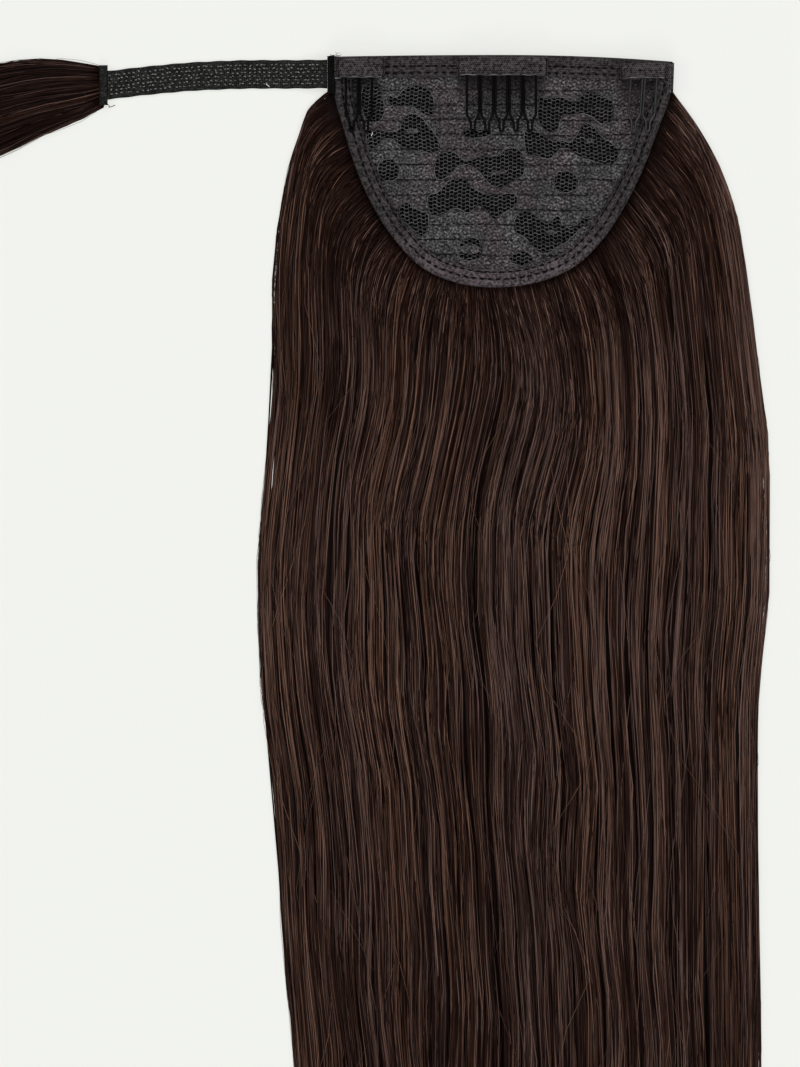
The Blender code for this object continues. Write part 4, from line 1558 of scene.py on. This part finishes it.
    def net(self) -> Surface:
        """The open net: yarn in rows of one wave, side by side, with a tie wherever it crosses zero.

        A row is y = row + sway * cos(2 pi x / wave). Each half wave is one tube, kept where its
        middle is in open net.
        """
        half = self.bend.wave / 2
        first_x, first_y = self.bend.start
        columns, rows = np.arange(first_x, -first_x, half), np.arange(first_y, -first_y, self.bend.row)
        start_x, start_y = np.meshgrid(columns, rows)
        number = np.round((start_x - first_x) / half)
        up = np.where(number % 2 == 0, 1.0, -1.0)
        bent = self.bend.bent(start_x, start_y)
        keep = self.inside(*bent) & (self.openness(*bent) > -0.35 * MM)
        start_x, start_y, up = start_x[keep], start_y[keep], up[keep]
        s = np.linspace(-0.56, 0.56, 5)[None, :]
        x = start_x[:, None] + s * half
        y = start_y[:, None] + up[:, None] * self.bend.sway * np.cos(math.pi * s)
        rows = self.laid(x, y, 0.0)
        s = np.linspace(-0.5, 0.5, 3)[None, :]
        tie_x = start_x[:, None] + half / 2 + 0.10 * MM * np.sin(9 * s)
        tie_y = start_y[:, None] + self.bend.row * (s + 0.5)
        ties = self.laid(tie_x, tie_y, -0.00008)
        tone = scattered(len(rows))[:, None]
        return joined([tubes(rows, self.yarn, 3, tone), tubes(ties, self.yarn * 0.7, 3, tone * 0.7)])

    def laid(self, x: Array, y: Array, lift: float) -> Array:
        """Paths in plan, bent a little as a real net is, and laid at the lace's upper side."""
        return on_hair(*self.bend.bent(x, y), LAYERS.lace_high - self.sunk + lift)

    def window_cord(self) -> Surface:
        """A raised thread along each window's outline: one short tube on each edge of the cloth there."""
        x, y, cells = self.woven()
        owner = np.tile(cells.ravel(), 4)
        key = np.sort(sides_of(grid_quads(*x.shape)), axis=1)
        order = np.lexsort((key[:, 1], key[:, 0]))
        key, owner = key[order], owner[order]
        pair = np.all(key[1:] == key[:-1], axis=1) & (owner[1:] != owner[:-1])
        edge = key[1:][pair]
        place = np.stack([x.ravel(), y.ravel()], axis=1)
        middle = place[edge].mean(axis=1)
        edge = edge[np.abs(self.in_window(middle[:, 0] / MM, middle[:, 1] / MM)) < 0.15]
        a, b = place[edge[:, 0]], place[edge[:, 1]]
        share = np.array([-0.10, 1.10])[None, :, None]
        plan = a[:, None] * (1 - share) + b[:, None] * share
        paths = on_hair(plan[..., 0], plan[..., 1], LAYERS.lace_high + self.proud)
        at = paths[:, 0]
        bright = 0.35 + 0.45 * np.sin(at[:, 0] * 420 + 2.0 * np.sin(at[:, 1] * 380)) + 0.25 * scattered(len(at))
        return tubes(paths, self.cord, 3, np.clip(bright, 0.0, 1.0)[:, None])

    def weft_stitches(self) -> Surface:
        """Dark sewing along each weft row: dashes at equal steps, a little unsteady."""
        generator = np.random.default_rng(5)
        middles = []
        for row in range(1, WEFT_ROWS):
            y = WEFT_SEAM_Y - row * WEFT_PITCH
            left, right = OUTLINE.half_widths(np.array([y]), 0.0062)
            x = np.arange(left[0], right[0], self.stitch_step)
            x = x + generator.normal(0.0, 0.00008, len(x))
            wander = 0.0003 * np.sin(x * 90 + row) + generator.normal(0.0, 0.00008, len(x))
            middles.append(np.stack([x, y + wander], axis=1))
        plan = np.concatenate(middles)
        places = on_hair(plan[:, 0], plan[:, 1], LAYERS.lace_high + self.proud)
        ways = np.tile([1.0, 0.0, 0.0], (len(plan), 1))
        ways[:, 1] = generator.normal(0.0, 0.10, len(plan))
        return capsules(places, unit(ways), self.stitch_length, self.stitch_radius, 0.0004)


@dataclass(frozen=True)
class FoldedTape:
    """A tape folded round the cap's edge and sewn through with rows of stitches."""

    name: str
    node: str
    width: float
    seams: tuple[float, ...]
    thickness: float = 0.0008
    stitch: float = 0.0018
    pitch: float = 0.0028
    pucker: float = 0.00018
    groove_depth: float = 0.00055
    groove_width: float = 0.00045
    thread: float = 0.00034
    sunk: float = 0.00020

    def build(self, edge: Array, into: Array, cloth: Finish, sewing: Finish) -> None:
        """Make the tape along an edge, and its stitches."""
        add_piece(self.name, carried(edge, into, self.section(edge)), cloth, [self.node], CLOTH_MAP)
        rows = [self.stitches(edge, into, seam) for seam in self.seams]
        add_piece(f"{self.name}_stitches", joined(rows), sewing)

    def section(self, edge: Array) -> Array:
        """The folded section at each ring, as (in from the edge, up from the ground).

        Its middle line runs from the inner edge out over the lace, round the fold, and back below.
        The tape's two faces are half a thickness to either side. Above, each seam draws a groove
        exp(-((a - seam) / 0.45 mm)^2) and the cloth between puckers in a wave along the edge.
        """
        along = along_of(edge)[:, None]
        high = LAYERS.binding_high - self.thickness / 2
        low = LAYERS.binding_low + self.thickness / 2
        fold = (high - low) / 2
        run = np.linspace(self.width, fold, 15)
        turn = np.linspace(math.pi / 2, 3 * math.pi / 2, 9)[1:-1]
        back = np.linspace(fold, self.width, 5)
        a = np.concatenate([run, fold + fold * np.cos(turn), back])
        h = np.concatenate([np.full(15, high), (high + low) / 2 + fold * np.sin(turn), np.full(5, low)])
        line = np.broadcast_to(np.stack([a, h], axis=1), (len(edge), len(a), 2)).copy()
        upper = (np.arange(len(a)) < 15)[None, :]
        groove = sum(np.exp(-(((line[..., 0] - seam) / self.groove_width) ** 2)) for seam in self.seams)
        wave = wave_along(along, self.pitch, 1.3 * np.sin(along * 90))
        slow = np.sin(along * 170 + 2.0 * np.sin(along * 47))
        near_inner = eased(line[..., 0], self.seams[0], self.width)
        relief = self.pucker * near_inner * (0.55 * wave + 0.75 * slow) - self.groove_depth * groove
        line[..., 1] += np.where(upper, relief, 0.0)
        line[..., 0] += np.where(upper, 0.00012 * near_inner * (wave + slow), 0.0)
        tangent = unit(np.gradient(line, axis=1))
        normal = np.stack([tangent[..., 1], -tangent[..., 0]], axis=2) * self.thickness / 2
        return np.concatenate([line + normal, (line - normal)[:, ::-1]], axis=1)

    def stitches(self, edge: Array, into: Array, seam: float) -> Surface:
        """Dashes at equal steps along the tape, down in their groove."""
        path = np.column_stack([edge + into * seam, np.zeros(len(edge))])
        points = spaced(path, self.pitch)
        ways = unit(np.gradient(points, axis=0))
        points = (points[1:] + points[:-1]) / 2
        ways = unit(ways[1:] + ways[:-1])
        points = on_hair(points[:, 0], points[:, 1], LAYERS.binding_high - self.sunk)
        return capsules(points, ways, self.stitch, self.thread, 0.0004)


@dataclass(frozen=True)
class CombWire:
    """A comb bent from one wire, and the short tape that is sewn over its top."""

    side: str
    first_tooth: float
    teeth: int
    lean: float
    cover_left: float
    cover_right: float
    cover_low_y: float
    seams: tuple[float, ...] = (0.0035,)
    finish: str = "wire"
    wire: float = 0.0007
    coat: float = 0.00009
    tooth_width: float = 0.0041
    tooth_pitch: float = 0.0050
    neck: float = 0.0013
    thread: float = 0.00024
    bulge: float = 0.00022
    bulge_width: float = 0.0008
    hem: float = 0.00022
    top_y: float = 0.0372
    bend_y: float = 0.0318
    shoulder_y: float = 0.0200
    neck_y: float = 0.0176
    tip_y: float = 0.0139

    def build(self, finishes: Finishes) -> None:
        """Make the wire, its cover, and the cover's stitches and edge."""
        route = rounded(spaced(self.route(), 0.0004), 4)
        surface = tubes(route[None], self.wire / 2 + self.coat, 7, np.full((1, 1), 0.5))
        add_piece(f"comb_wire_{self.side}", surface, finishes[self.finish], [f"comb_{self.side}"])
        node = f"comb_cover_{self.side}"
        add_piece(f"cover_tape_{self.side}", self.cover(), finishes["cover"], [node], CLOTH_MAP)
        add_piece(f"cover_stitches_{self.side}", self.cover_stitches(), finishes["sewing"])
        add_piece(f"cover_selvedge_{self.side}", self.cover_selvedge(), finishes["grey_sewing"])

    def route(self) -> Array:
        """The wire's corners: down one side of a tooth, round its tip, up, and on to the next."""
        corners = []
        half, neck, between = self.tooth_width / 2, self.neck / 2, self.tooth_pitch - self.tooth_width
        turn = np.radians([45, 90, 135])
        for tooth in range(self.teeth):
            middle = self.first_tooth + tooth * self.tooth_pitch
            down = [(half, self.top_y), (half, self.bend_y), (half, self.shoulder_y)]
            down += [(neck, self.neck_y), (neck, self.tip_y + neck)]
            corners += [(middle - a, y) for a, y in down]
            corners += [(middle - neck * math.cos(a), self.tip_y + neck - neck * math.sin(a)) for a in turn]
            corners += [(middle + a, y) for a, y in reversed(down)]
            if tooth < self.teeth - 1:
                bend, centre = between / 2, middle + half + between / 2
                corners += [(centre - bend * math.cos(a), self.top_y + bend * math.sin(a)) for a in turn]
        route = np.array(corners)
        route[:, 0] += self.lean * (self.top_y - route[:, 1]) / (self.top_y - self.tip_y)
        return on_hair(*route.T, LAYERS.binding_high + LAYERS.gap + self.wire / 2)

    def cover_base(self) -> tuple[float, float]:
        """The cover's upper edge in plan, and the height of its level underside."""
        ends = np.array([self.cover_left, self.cover_right])
        upper_y = float(OUTLINE.band_top(ends).min()) - LAYERS.gap
        across, down = np.linspace(*ends, 9), np.linspace(self.cover_low_y, upper_y, 5)
        ground = float(FORM.top(*np.meshgrid(across, down)).max())
        return upper_y, ground + LAYERS.binding_high + 2 * LAYERS.gap + self.wire

    def cover(self) -> Surface:
        """A tape lying over the wires: level, rounded at its edges, bulged over each wire.

        Its upper side drops by a share of its thickness where 1 - |s|^6 goes to 0 at the edges, and
        rises over each wire by exp(-(distance / width)^2).
        """
        upper_y, low = self.cover_base()
        s, t = square(70, 22)
        x = between(self.cover_left, self.cover_right, s)
        y = between(self.cover_low_y, upper_y, t) + 0.00012 * np.sin(x * 900) * (t < -0.8)
        edge = (1 - np.abs(s) ** 30) * (1 - np.abs(t) ** 8)
        teeth = [self.first_tooth + k * self.tooth_pitch for k in range(self.teeth)]
        wires = [tooth + side * self.tooth_width / 2 for tooth in teeth for side in (-1, 1)]
        bulge = sum(np.exp(-(((x - wire) / self.bulge_width) ** 2)) for wire in wires)
        hem = np.exp(-(((t + 0.72) / 0.09) ** 2))
        relief = self.bulge * bulge * edge - self.hem * hem
        high = low + LAYERS.tape * (0.45 + 0.55 * edge) + relief
        sink = LAYERS.gap + self.wire
        drop = sink * eased(np.abs(s), 1 - 0.0024 / (self.cover_right - self.cover_left), 1.0)
        return slab(x, y, np.full(x.shape, low) - drop, high - drop * 0.8)

    def cover_stitches(self) -> Surface:
        """Dark stitches that go on from the band's rows, and a close column up each end."""
        upper_y, low = self.cover_base()
        rows = []
        for seam in self.seams:
            x = np.arange(self.cover_left + 0.0020, self.cover_right - 0.0016, 0.0027)
            rows.append(xyz(x, OUTLINE.band_top(x) - seam, low + LAYERS.tape - 0.00008))
        places = np.concatenate(rows)
        dashes = capsules(places, np.array([1.0, 0.0, 0.0]), 0.0018, self.thread, 0.0003)
        ends = []
        for end, inward in ((self.cover_left, 1.0), (self.cover_right, -1.0)):
            y = np.arange(self.cover_low_y + 0.0005, upper_y - 0.0005, 0.00095)
            ends.append(xyz(end + inward * 0.0007, y, low + 0.00055))
        places = np.concatenate(ends)
        return joined([dashes, capsules(places, unit(np.array([0.22, 1.0, 0.0])), 0.0010, self.thread, 0.0002)])

    def cover_selvedge(self) -> Surface:
        """A pale thread along the cover's folded lower edge: painted highlight where the edge catches the light."""
        _, low = self.cover_base()
        x = np.linspace(self.cover_left + 0.0012, self.cover_right - 0.0012, 60)
        y = self.cover_low_y + 0.00005 + 0.00010 * np.sin(x * 1300) + 0.00008 * np.sin(x * 410)
        tone = 0.5 + 0.4 * np.sin(x * 900 + 2.0 * np.sin(x * 260))
        return tubes(xyz(x, y, low + 0.00062)[None], 0.00017, 5, tone[None])


@dataclass(frozen=True)
class WeftTracks:
    """The sewn tops of the hair wefts under the lace: ribs of folded hair ends."""

    first_y: float = 0.0287
    width: float = 0.0020

    def build(self, finish: Finish) -> None:
        """Make all the tracks as one piece that stands for the model's strips."""
        tracks = [self.track(row) for row in range(WEFT_ROWS)]
        nodes = [f"weft_row_{row + 1}" for row in range(WEFT_ROWS)]
        add_piece("weft_tracks", joined(tracks), finish, nodes)

    def track(self, row: int) -> Surface:
        """A strip whose upper side is ribbed by a sine of x, and whose edges fray with it."""
        upper = self.first_y - row * WEFT_PITCH
        lower = upper - self.width
        left, right = OUTLINE.half_widths(np.array([lower]), 0.0059)
        x, t = np.meshgrid(np.linspace(left[0], right[0], 110), np.linspace(0.0, 1.0, 3))
        rib = wave_along(x, 0.0023, row)
        y = lower + (upper - lower) * t + 0.00012 * rib * (2 * t - 1)
        low = FORM.top(x, y) + LAYERS.gap
        crown = 0.00055 + 0.00025 * (1 - (2 * t - 1) ** 2) + 0.00012 * rib
        pairs = np.stack([0.5 + 0.4 * rib, 0.05 + 0.9 * t], axis=2)
        return slab(x, y, low, low + crown, (pairs, pairs))


# The strap


class StrapSection(NamedTuple):
    """One crossing of the hook strap, at x, with the height of its underside."""

    x: float
    middle: float
    lift: float


@dataclass(frozen=True)
class HookStrap:
    """The hook-tape strap: a woven ground with rows of cut loops, its tack and its end seam."""

    width: float = 0.0100
    ground: float = 0.0009
    hook_along: float = 0.0017
    hook_across: float = 0.0013
    hook_rows: int = 6
    hook_height: float = 0.0008
    hook_radius: float = 0.00019
    fold_box: tuple[Span, Span, Span] = ((-0.1421, -0.1390), (0.0238, 0.0378), (0.0002, 0.0034))
    fold_seams_x: Span = (-0.1413, -0.1399)
    fold_seam_z: float = 0.00325
    tack_box: tuple[Span, Span, Span] = ((-0.06186, -0.05924), (0.0279, 0.0409), (0.0017, 0.0050))
    tack_x: float = -0.06055
    tack_z: float = 0.00505
    thread: float = 0.00017
    sections: tuple[StrapSection, ...] = table(
        StrapSection,
        (-0.0619, 0.0346, 0.0022), (-0.0660, 0.0346, 0.0016), (-0.0720, 0.0346, 0.0005), (-0.0770, 0.0346, 0.0000),
        (-0.0860, 0.0346, 0.0000), (-0.1060, 0.0340, 0.0000), (-0.1240, 0.0325, 0.0000), (-0.1387, 0.0308, 0.0000),
    )

    def build(self, finishes: Finishes) -> None:
        """Make the tape, its hooks, the tack at the band and the seam at the strand."""
        ground, hook, sewing, tack = (finishes[name] for name in ("strap", "hook", "sewing", "tack"))
        tape = add_piece("hook_tape_ground", self.tape(), ground, ["hook_strap"], CLOTH_MAP)
        hooks = add_piece("hook_tape_hooks", self.hooks(), hook)
        add_piece("end_seam_fold", self.seam(), ground, ["strap_end_seam"], CLOTH_MAP)
        add_piece("end_seam_stitches", self.seam_stitches(), sewing)
        add_piece("bartack_pad", self.tack_pad(), tack, ["strap_bartack"], CLOTH_MAP)
        add_piece("bartack_threads", self.tack_threads(), sewing)

    def route(self, x: Array) -> Pair:
        """The strap's middle in plan, and the height of its underside, at x."""
        middle, lift = read_off(self.sections, x, "middle", "lift")
        return middle, np.maximum(lift, 0.0)

    def tape(self) -> Surface:
        """The woven ground: thicker selvedges, and a fine rib across at every row of hooks."""
        x, s = np.meshgrid(np.linspace(-0.0619, -0.1392, 184), np.linspace(-1.0, 1.0, 13))
        middle, lift = self.route(x)
        y = middle + s * self.width / 2 + 0.00008 * np.sin(x * 800) * s
        selvedge = 0.00022 * np.exp(-(((np.abs(s) - 0.90) / 0.07) ** 2))
        rib = 0.00007 * np.sin(TAU * x / self.hook_along * 2)
        edge = 0.0004 * np.abs(s) ** 24
        low = lift + 0.0002
        return slab(x, y, low, low + self.ground + selvedge + rib - edge)

    def hooks(self) -> Surface:
        """Cut loops in staggered rows: each a short cane of plastic, bent over along the tape.

        For a from 0 to 205 degrees it goes over by 0.3 mm (1 - cos(a)), and up by h sin(0.62 a)^0.8.
        """
        generator = np.random.default_rng(8)
        columns = np.arange(-0.0640, -0.1385, -self.hook_along)
        rows = (np.arange(self.hook_rows) - (self.hook_rows - 1) / 2) * self.hook_across
        x, across = np.meshgrid(columns, rows)
        stagger = (np.arange(self.hook_rows) % 2)[:, None] * self.hook_along / 2
        x = (x - stagger).ravel() + generator.normal(0.0, 0.00007, x.size)
        middle, lift = self.route(x)
        y = middle + across.ravel() + generator.normal(0.0, 0.00007, x.size)
        angle = np.radians(np.linspace(0.0, 205.0, 7))[None, :]
        heading = generator.normal(0.0, 0.30, x.size) + np.where(generator.random(x.size) < 0.5, 0.0, math.pi)
        way = xyz(np.cos(heading), np.sin(heading), 0.0)
        root = xyz(x, y, lift + 0.0002 + self.ground - 0.0001)
        over = 0.00030 * (1 - np.cos(angle))
        up = self.hook_height * np.sin(angle * 0.62) ** 0.8
        paths = root[:, None, :] + way[:, None, :] * over[..., None]
        paths[..., 2] += up
        side = np.cross(way, [0.0, 0.0, 1.0])
        return tubes(paths, self.hook_radius, 4, generator.random((x.size, 1)), level=side)

    @staticmethod
    def block(xs: Span, ys: Span, zs: Span, power: float = 10.0) -> Surface:
        """A sewn block with soft corners: its sides fall where 1 - |s|^power goes to 0."""
        s, t = square(22, 50)
        x, y = between(*xs, s), between(*ys, t)
        edge = (1 - np.abs(s) ** power) * (1 - np.abs(t) ** (power * 3))
        ripple = 0.00010 * np.sin(t * 60 + 2 * np.sin(s * 3)) * edge
        return slab(x, y, np.full(x.shape, zs[0]), zs[0] + (zs[1] - zs[0]) * (0.30 + 0.70 * edge) + ripple)

    def seam(self) -> Surface:
        """The folded end of the strap."""
        return self.block(*self.fold_box, 6.0)

    def seam_stitches(self) -> Surface:
        """Two lines of stitches up the fold, and a loose end of thread at its lower corner."""
        y = np.arange(0.0246, 0.0373, 0.0016)
        places = np.concatenate([xyz(x, y, self.fold_seam_z) for x in self.fold_seams_x])
        stitches = capsules(places, np.array([0.0, 1.0, 0.0]), 0.0012, self.thread, 0.0003)
        t = np.linspace(0.0, 1.0, 14)
        loop_x = -0.1398 + 0.0030 * t + 0.0006 * np.sin(7 * t)
        loop_y = 0.0246 - 0.0012 * np.sin(math.pi * t) - 0.0008 * t
        loop = xyz(loop_x, loop_y, 0.0030 - 0.0026 * t)
        return joined([stitches, tubes(loop[None], 0.00014, 5, np.full((1, 1), 0.5))])

    def tack_pad(self) -> Surface:
        """The strap's end under the tack."""
        return self.block(*self.tack_box, 12.0)

    def tack_threads(self) -> Surface:
        """The tack's close zigzag of thread, and a fuzz of loose ends at its top."""
        generator = np.random.default_rng(3)
        y = np.arange(0.0280, 0.0410, 0.00040)
        places = xyz(self.tack_x, y, self.tack_z)
        ways = np.tile([1.0, 0.0, 0.0], (len(y), 1))
        ways[:, 1] = 0.16 * (-1.0) ** np.arange(len(y)) + generator.normal(0.0, 0.05, len(y))
        tack = capsules(places, unit(ways), 0.0028, 0.00023, 0.0003)
        count = 9
        t = np.linspace(0.0, 1.0, 10)[None, :]
        heading = generator.uniform(-0.5, 2.2, count)[:, None]
        reach = generator.uniform(0.0015, 0.0042, count)[:, None]
        curl = generator.uniform(-1.4, 1.4, count)[:, None]
        x = -0.0598 + reach * t * np.cos(heading + curl * t)
        z = 0.0049 + 0.0007 * np.sin(math.pi * t) - 0.0006 * t
        fuzz = xyz(x, 0.0402 + reach * t * np.sin(heading + curl * t) * 0.6, z)
        return joined([tack, tubes(fuzz, 0.00007, 3, np.full((count, 1), 0.5))])


@dataclass(frozen=True)
class Lint:
    """The few pale specks of fluff that lie on the cap and the strap."""

    specks: tuple[tuple[float, float, float, float], ...] = (
        (-0.0828, 0.0307, 0.0016, -0.9),
        (-0.0462, 0.0133, 0.0013, 1.5),
    )

    def build(self, finish: Finish) -> None:
        """Make each speck as a short bent fibre on what it lies on."""
        t = np.linspace(-0.5, 0.5, 7)
        paths = []
        for x, y, length, heading in self.specks:
            px = x + length * t * math.cos(heading) + 0.0002 * np.sin(6 * t)
            py = y + length * t * math.sin(heading)
            on_strap = x < -OUTLINE.half_width
            base = 0.0020 if on_strap else float(FORM.top(x, y)) + LAYERS.lace_high + 0.0003
            paths.append(xyz(px, py, base + 0.0002 * np.cos(4 * t)))
        surface = tubes(np.array(paths), 0.00016, 5, np.full((len(paths), 1), 0.5))
        add_piece("lint", surface, finish)


@dataclass(frozen=True)
class Cap:
    """The cap: weft tracks, lace, folded tapes, combs and their covers."""

    lace: Lace = Lace()
    wefts: WeftTracks = WeftTracks()
    binding: FoldedTape = FoldedTape("binding_tape", "edge_binding", 0.0056, (0.0024, 0.0049))
    band: FoldedTape = FoldedTape("band_tape", "top_band", 0.0070, (0.0035, 0.0058))
    combs: tuple[CombWire, ...] = (
        CombWire("left", -0.0533, 2, 0.0000, -0.0586, -0.0417, 0.0333),
        CombWire("center", -0.0109, 5, 0.0000, -0.0165, 0.0155, 0.0340, (0.0033, 0.0053)),
        CombWire("right", 0.0468, 2, -0.0016, 0.0406, 0.0573, 0.0330, finish="bright_wire"),
    )

    def build(self, finishes: Finishes) -> None:
        """Make every piece of the cap."""
        self.wefts.build(finishes["track"])
        self.lace.build(finishes)
        edge = OUTLINE.edge(240)
        edge = edge[edge[:, 1] < OUTLINE.band_top(edge[:, 0]) - self.band.width - 0.0001]
        self.binding.build(edge, OUTLINE.inward(edge), finishes["tape"], finishes["sewing"])
        x = np.linspace(-OUTLINE.half_width, OUTLINE.half_width, 190)
        top = np.column_stack([x, OUTLINE.band_top(x)])
        self.band.build(top, np.broadcast_to([0.0, -1.0], top.shape), finishes["band"], finishes["sewing"])
        for comb in self.combs:
            comb.build(finishes)
        self.end_tab(finishes["band"], finishes["grey_sewing"])

    def end_tab(self, cloth: Finish, sewing: Finish) -> None:
        """The band's right end, turned down over the binding and sewn with a column of stitches."""
        s, t = square(16, 60)
        middle, low_y, high_y = 0.0583, 0.0278, 0.0384
        x = middle + s * 0.0012 + 0.0002 * t
        y = between(low_y, high_y, t)
        edge = (1 - np.abs(s) ** 8) * (1 - np.abs(t) ** 20)
        base = FORM.top(x, y) + LAYERS.binding_high
        add_piece("band_end_tab", slab(x, y, base, base + 0.0001 + 0.0006 * edge), cloth, (), CLOTH_MAP)
        up = np.arange(low_y + 0.0006, high_y - 0.0004, 0.0013)
        places = on_hair(np.full(len(up), middle), up, LAYERS.binding_high + 0.0007)
        stitches = capsules(places, np.array([0.0, 1.0, 0.0]), 0.0008, 0.00017, 0.0002)
        add_piece("band_end_stitches", stitches, sewing)


# The studio


@dataclass(frozen=True)
class Lamp:
    """A square soft light: where it stands, how wide it is and its power."""

    place: tuple[float, float, float]
    width: float
    watts: float


@dataclass(frozen=True)
class Studio:
    """A pale floor, soft light and a camera straight above."""

    frame_px: tuple[int, int] = (800, 1067)
    cap_middle_px: tuple[int, int] = (504, 172)
    metres_per_px: float = 0.00035
    camera_height: float = 2.80
    sharp_height: float = 0.008
    clip: Span = (0.05, 20.0)
    floor_half: float = 6.0
    floor_colour: Colour = (0.250, 0.251, 0.240)
    floor_glow: Colour = (0.616, 0.623, 0.594)
    world_colour: Colour = (0.96, 0.98, 1.0)
    world_strength: float = 0.30
    lamps: tuple[Lamp, ...] = (
        Lamp((0.0, 1.15, 1.30), 0.9, 11.6),
        Lamp((-0.1, -1.35, 1.30), 0.9, 9.9),
        Lamp((-1.15, -0.1, 1.25), 0.8, 6.4),
        Lamp((1.10, -0.1, 1.25), 0.8, 7.6),
    )

    def build(self) -> None:
        """Make the floor, the lights, the world and the camera."""
        bpy.context.scene.view_settings.view_transform = "Standard"
        self.floor()
        for number, lamp in enumerate(self.lamps):
            self.light(number, lamp)
        world = bpy.data.worlds.new("soft_light")
        world.use_nodes = True
        background = world.node_tree.nodes["Background"]
        background.inputs["Color"].default_value = (*self.world_colour, 1.0)
        background.inputs["Strength"].default_value = self.world_strength
        bpy.context.scene.world = world
        self.camera()

    def middle(self) -> tuple[float, float]:
        """The place on the ground at the middle of the photograph's frame."""
        x = (self.frame_px[0] / 2 - self.cap_middle_px[0]) * self.metres_per_px
        y = (self.cap_middle_px[1] - self.frame_px[1] / 2) * self.metres_per_px
        return x, y

    def floor(self) -> None:
        """A plain square floor."""
        mesh = bpy.data.meshes.new("floor")
        far = self.floor_half
        mesh.from_pydata([(-far, -far, 0), (far, -far, 0), (far, far, 0), (-far, far, 0)], [], [(0, 1, 2, 3)])
        shader = Shader("floor_paper", 0.9, 0.0, {"Emission Color": self.floor_glow, "Emission Strength": 1.0})
        vector, _, _ = shader.place()
        grain = shader.noise(vector, 60.0, 2.0)
        pale = tuple(min(1.0, c * 1.004) for c in self.floor_colour)
        mesh.materials.append(shader.finish(shader.mix(grain, self.floor_colour, pale)))
        piece = linked("floor", mesh)

    def light(self, number: int, lamp: Lamp) -> None:
        """A square area light that faces the middle of the object."""
        data = bpy.data.lights.new(f"lamp_{number}", "AREA")
        data.size = lamp.width
        data.energy = lamp.watts
        light = linked(f"lamp_{number}", data)
        x, y = self.middle()
        light.location = (lamp.place[0] + x, lamp.place[1] + y, lamp.place[2])
        towards = Vector((-lamp.place[0], -lamp.place[1], -lamp.place[2]))
        light.rotation_euler = towards.to_track_quat("-Z", "Y").to_euler()

    def camera(self) -> None:
        """A camera that looks straight down and frames what the photograph does."""
        data = bpy.data.cameras.new("camera")
        tall = self.frame_px[1] * self.metres_per_px
        data.lens = data.sensor_width * (self.camera_height - self.sharp_height) / tall
        data.clip_start, data.clip_end = self.clip
        camera = linked("camera", data)
        camera.location = (*self.middle(), self.camera_height)
        bpy.context.scene.camera = camera


def make_finishes() -> dict[str, Finish]:
    """All the materials, by what they are for."""
    makers = {
        "strands": HairFinish(),
        "hair_core": CoreFinish("hair_depth", (1400.0, 30.0, 200.0)),
        "wrap_core": CoreFinish("wrap_depth", (40.0, 1400.0, 200.0)),
        "lace": LaceFinish("lace_cloth"),
        "yarn": ThreadFinish("net_yarn", (0.080, 0.077, 0.078)),
        "cord": ThreadFinish("outline_cord", (0.100, 0.097, 0.097), 0.7),
        "sewing": ThreadFinish("black_thread", (0.0036, 0.0032, 0.0032), specular=0.04),
        "grey_sewing": ThreadFinish("grey_thread", (0.110, 0.105, 0.106), 0.6),
        "track": ThreadFinish("weft_track", (0.0040, 0.0032, 0.0030)),
        "tape": TapeFinish("binding_weave"),
        "band": TapeFinish("band_weave", pick=0.75),
        "cover": TapeFinish("cover_weave", (0.0330, 0.0285, 0.0297), pick=0.7),
        "strap": StrapFinish(),
        "hook": ThreadFinish("hook_plastic", (0.165, 0.165, 0.157), 0.5, 0.4, 0.3),
        "tack": TapeFinish("tack_weave", (0.0075, 0.0072, 0.0070), (0.0075, 0.0072, 0.0070)),
        "wire": WireFinish("coated_wire", 0.04, (0.0028, 0.0028, 0.0028)),
        # The right comb's wire: glossier, and lighter in colour as painted sheen.
        "bright_wire": WireFinish("glossy_wire_painted_sheen", 0.45, (0.0160, 0.0160, 0.0160)),
        "lint": ThreadFinish("fluff", (0.62, 0.61, 0.60), 0.2),
    }
    return {use: maker.material() for use, maker in makers.items()}


def main() -> None:
    """Build the hairpiece and its studio."""
    logging.basicConfig(level=logging.INFO, format="%(message)s")
    Studio().build()
    finishes = make_finishes()
    HairFall().build(finishes["strands"], finishes["hair_core"])
    WrapStrand().build(finishes["strands"], finishes["wrap_core"])
    Cap().build(finishes)
    HookStrap().build(finishes)
    Lint().build(finishes["lint"])


if __name__ == "__main__":
    main()
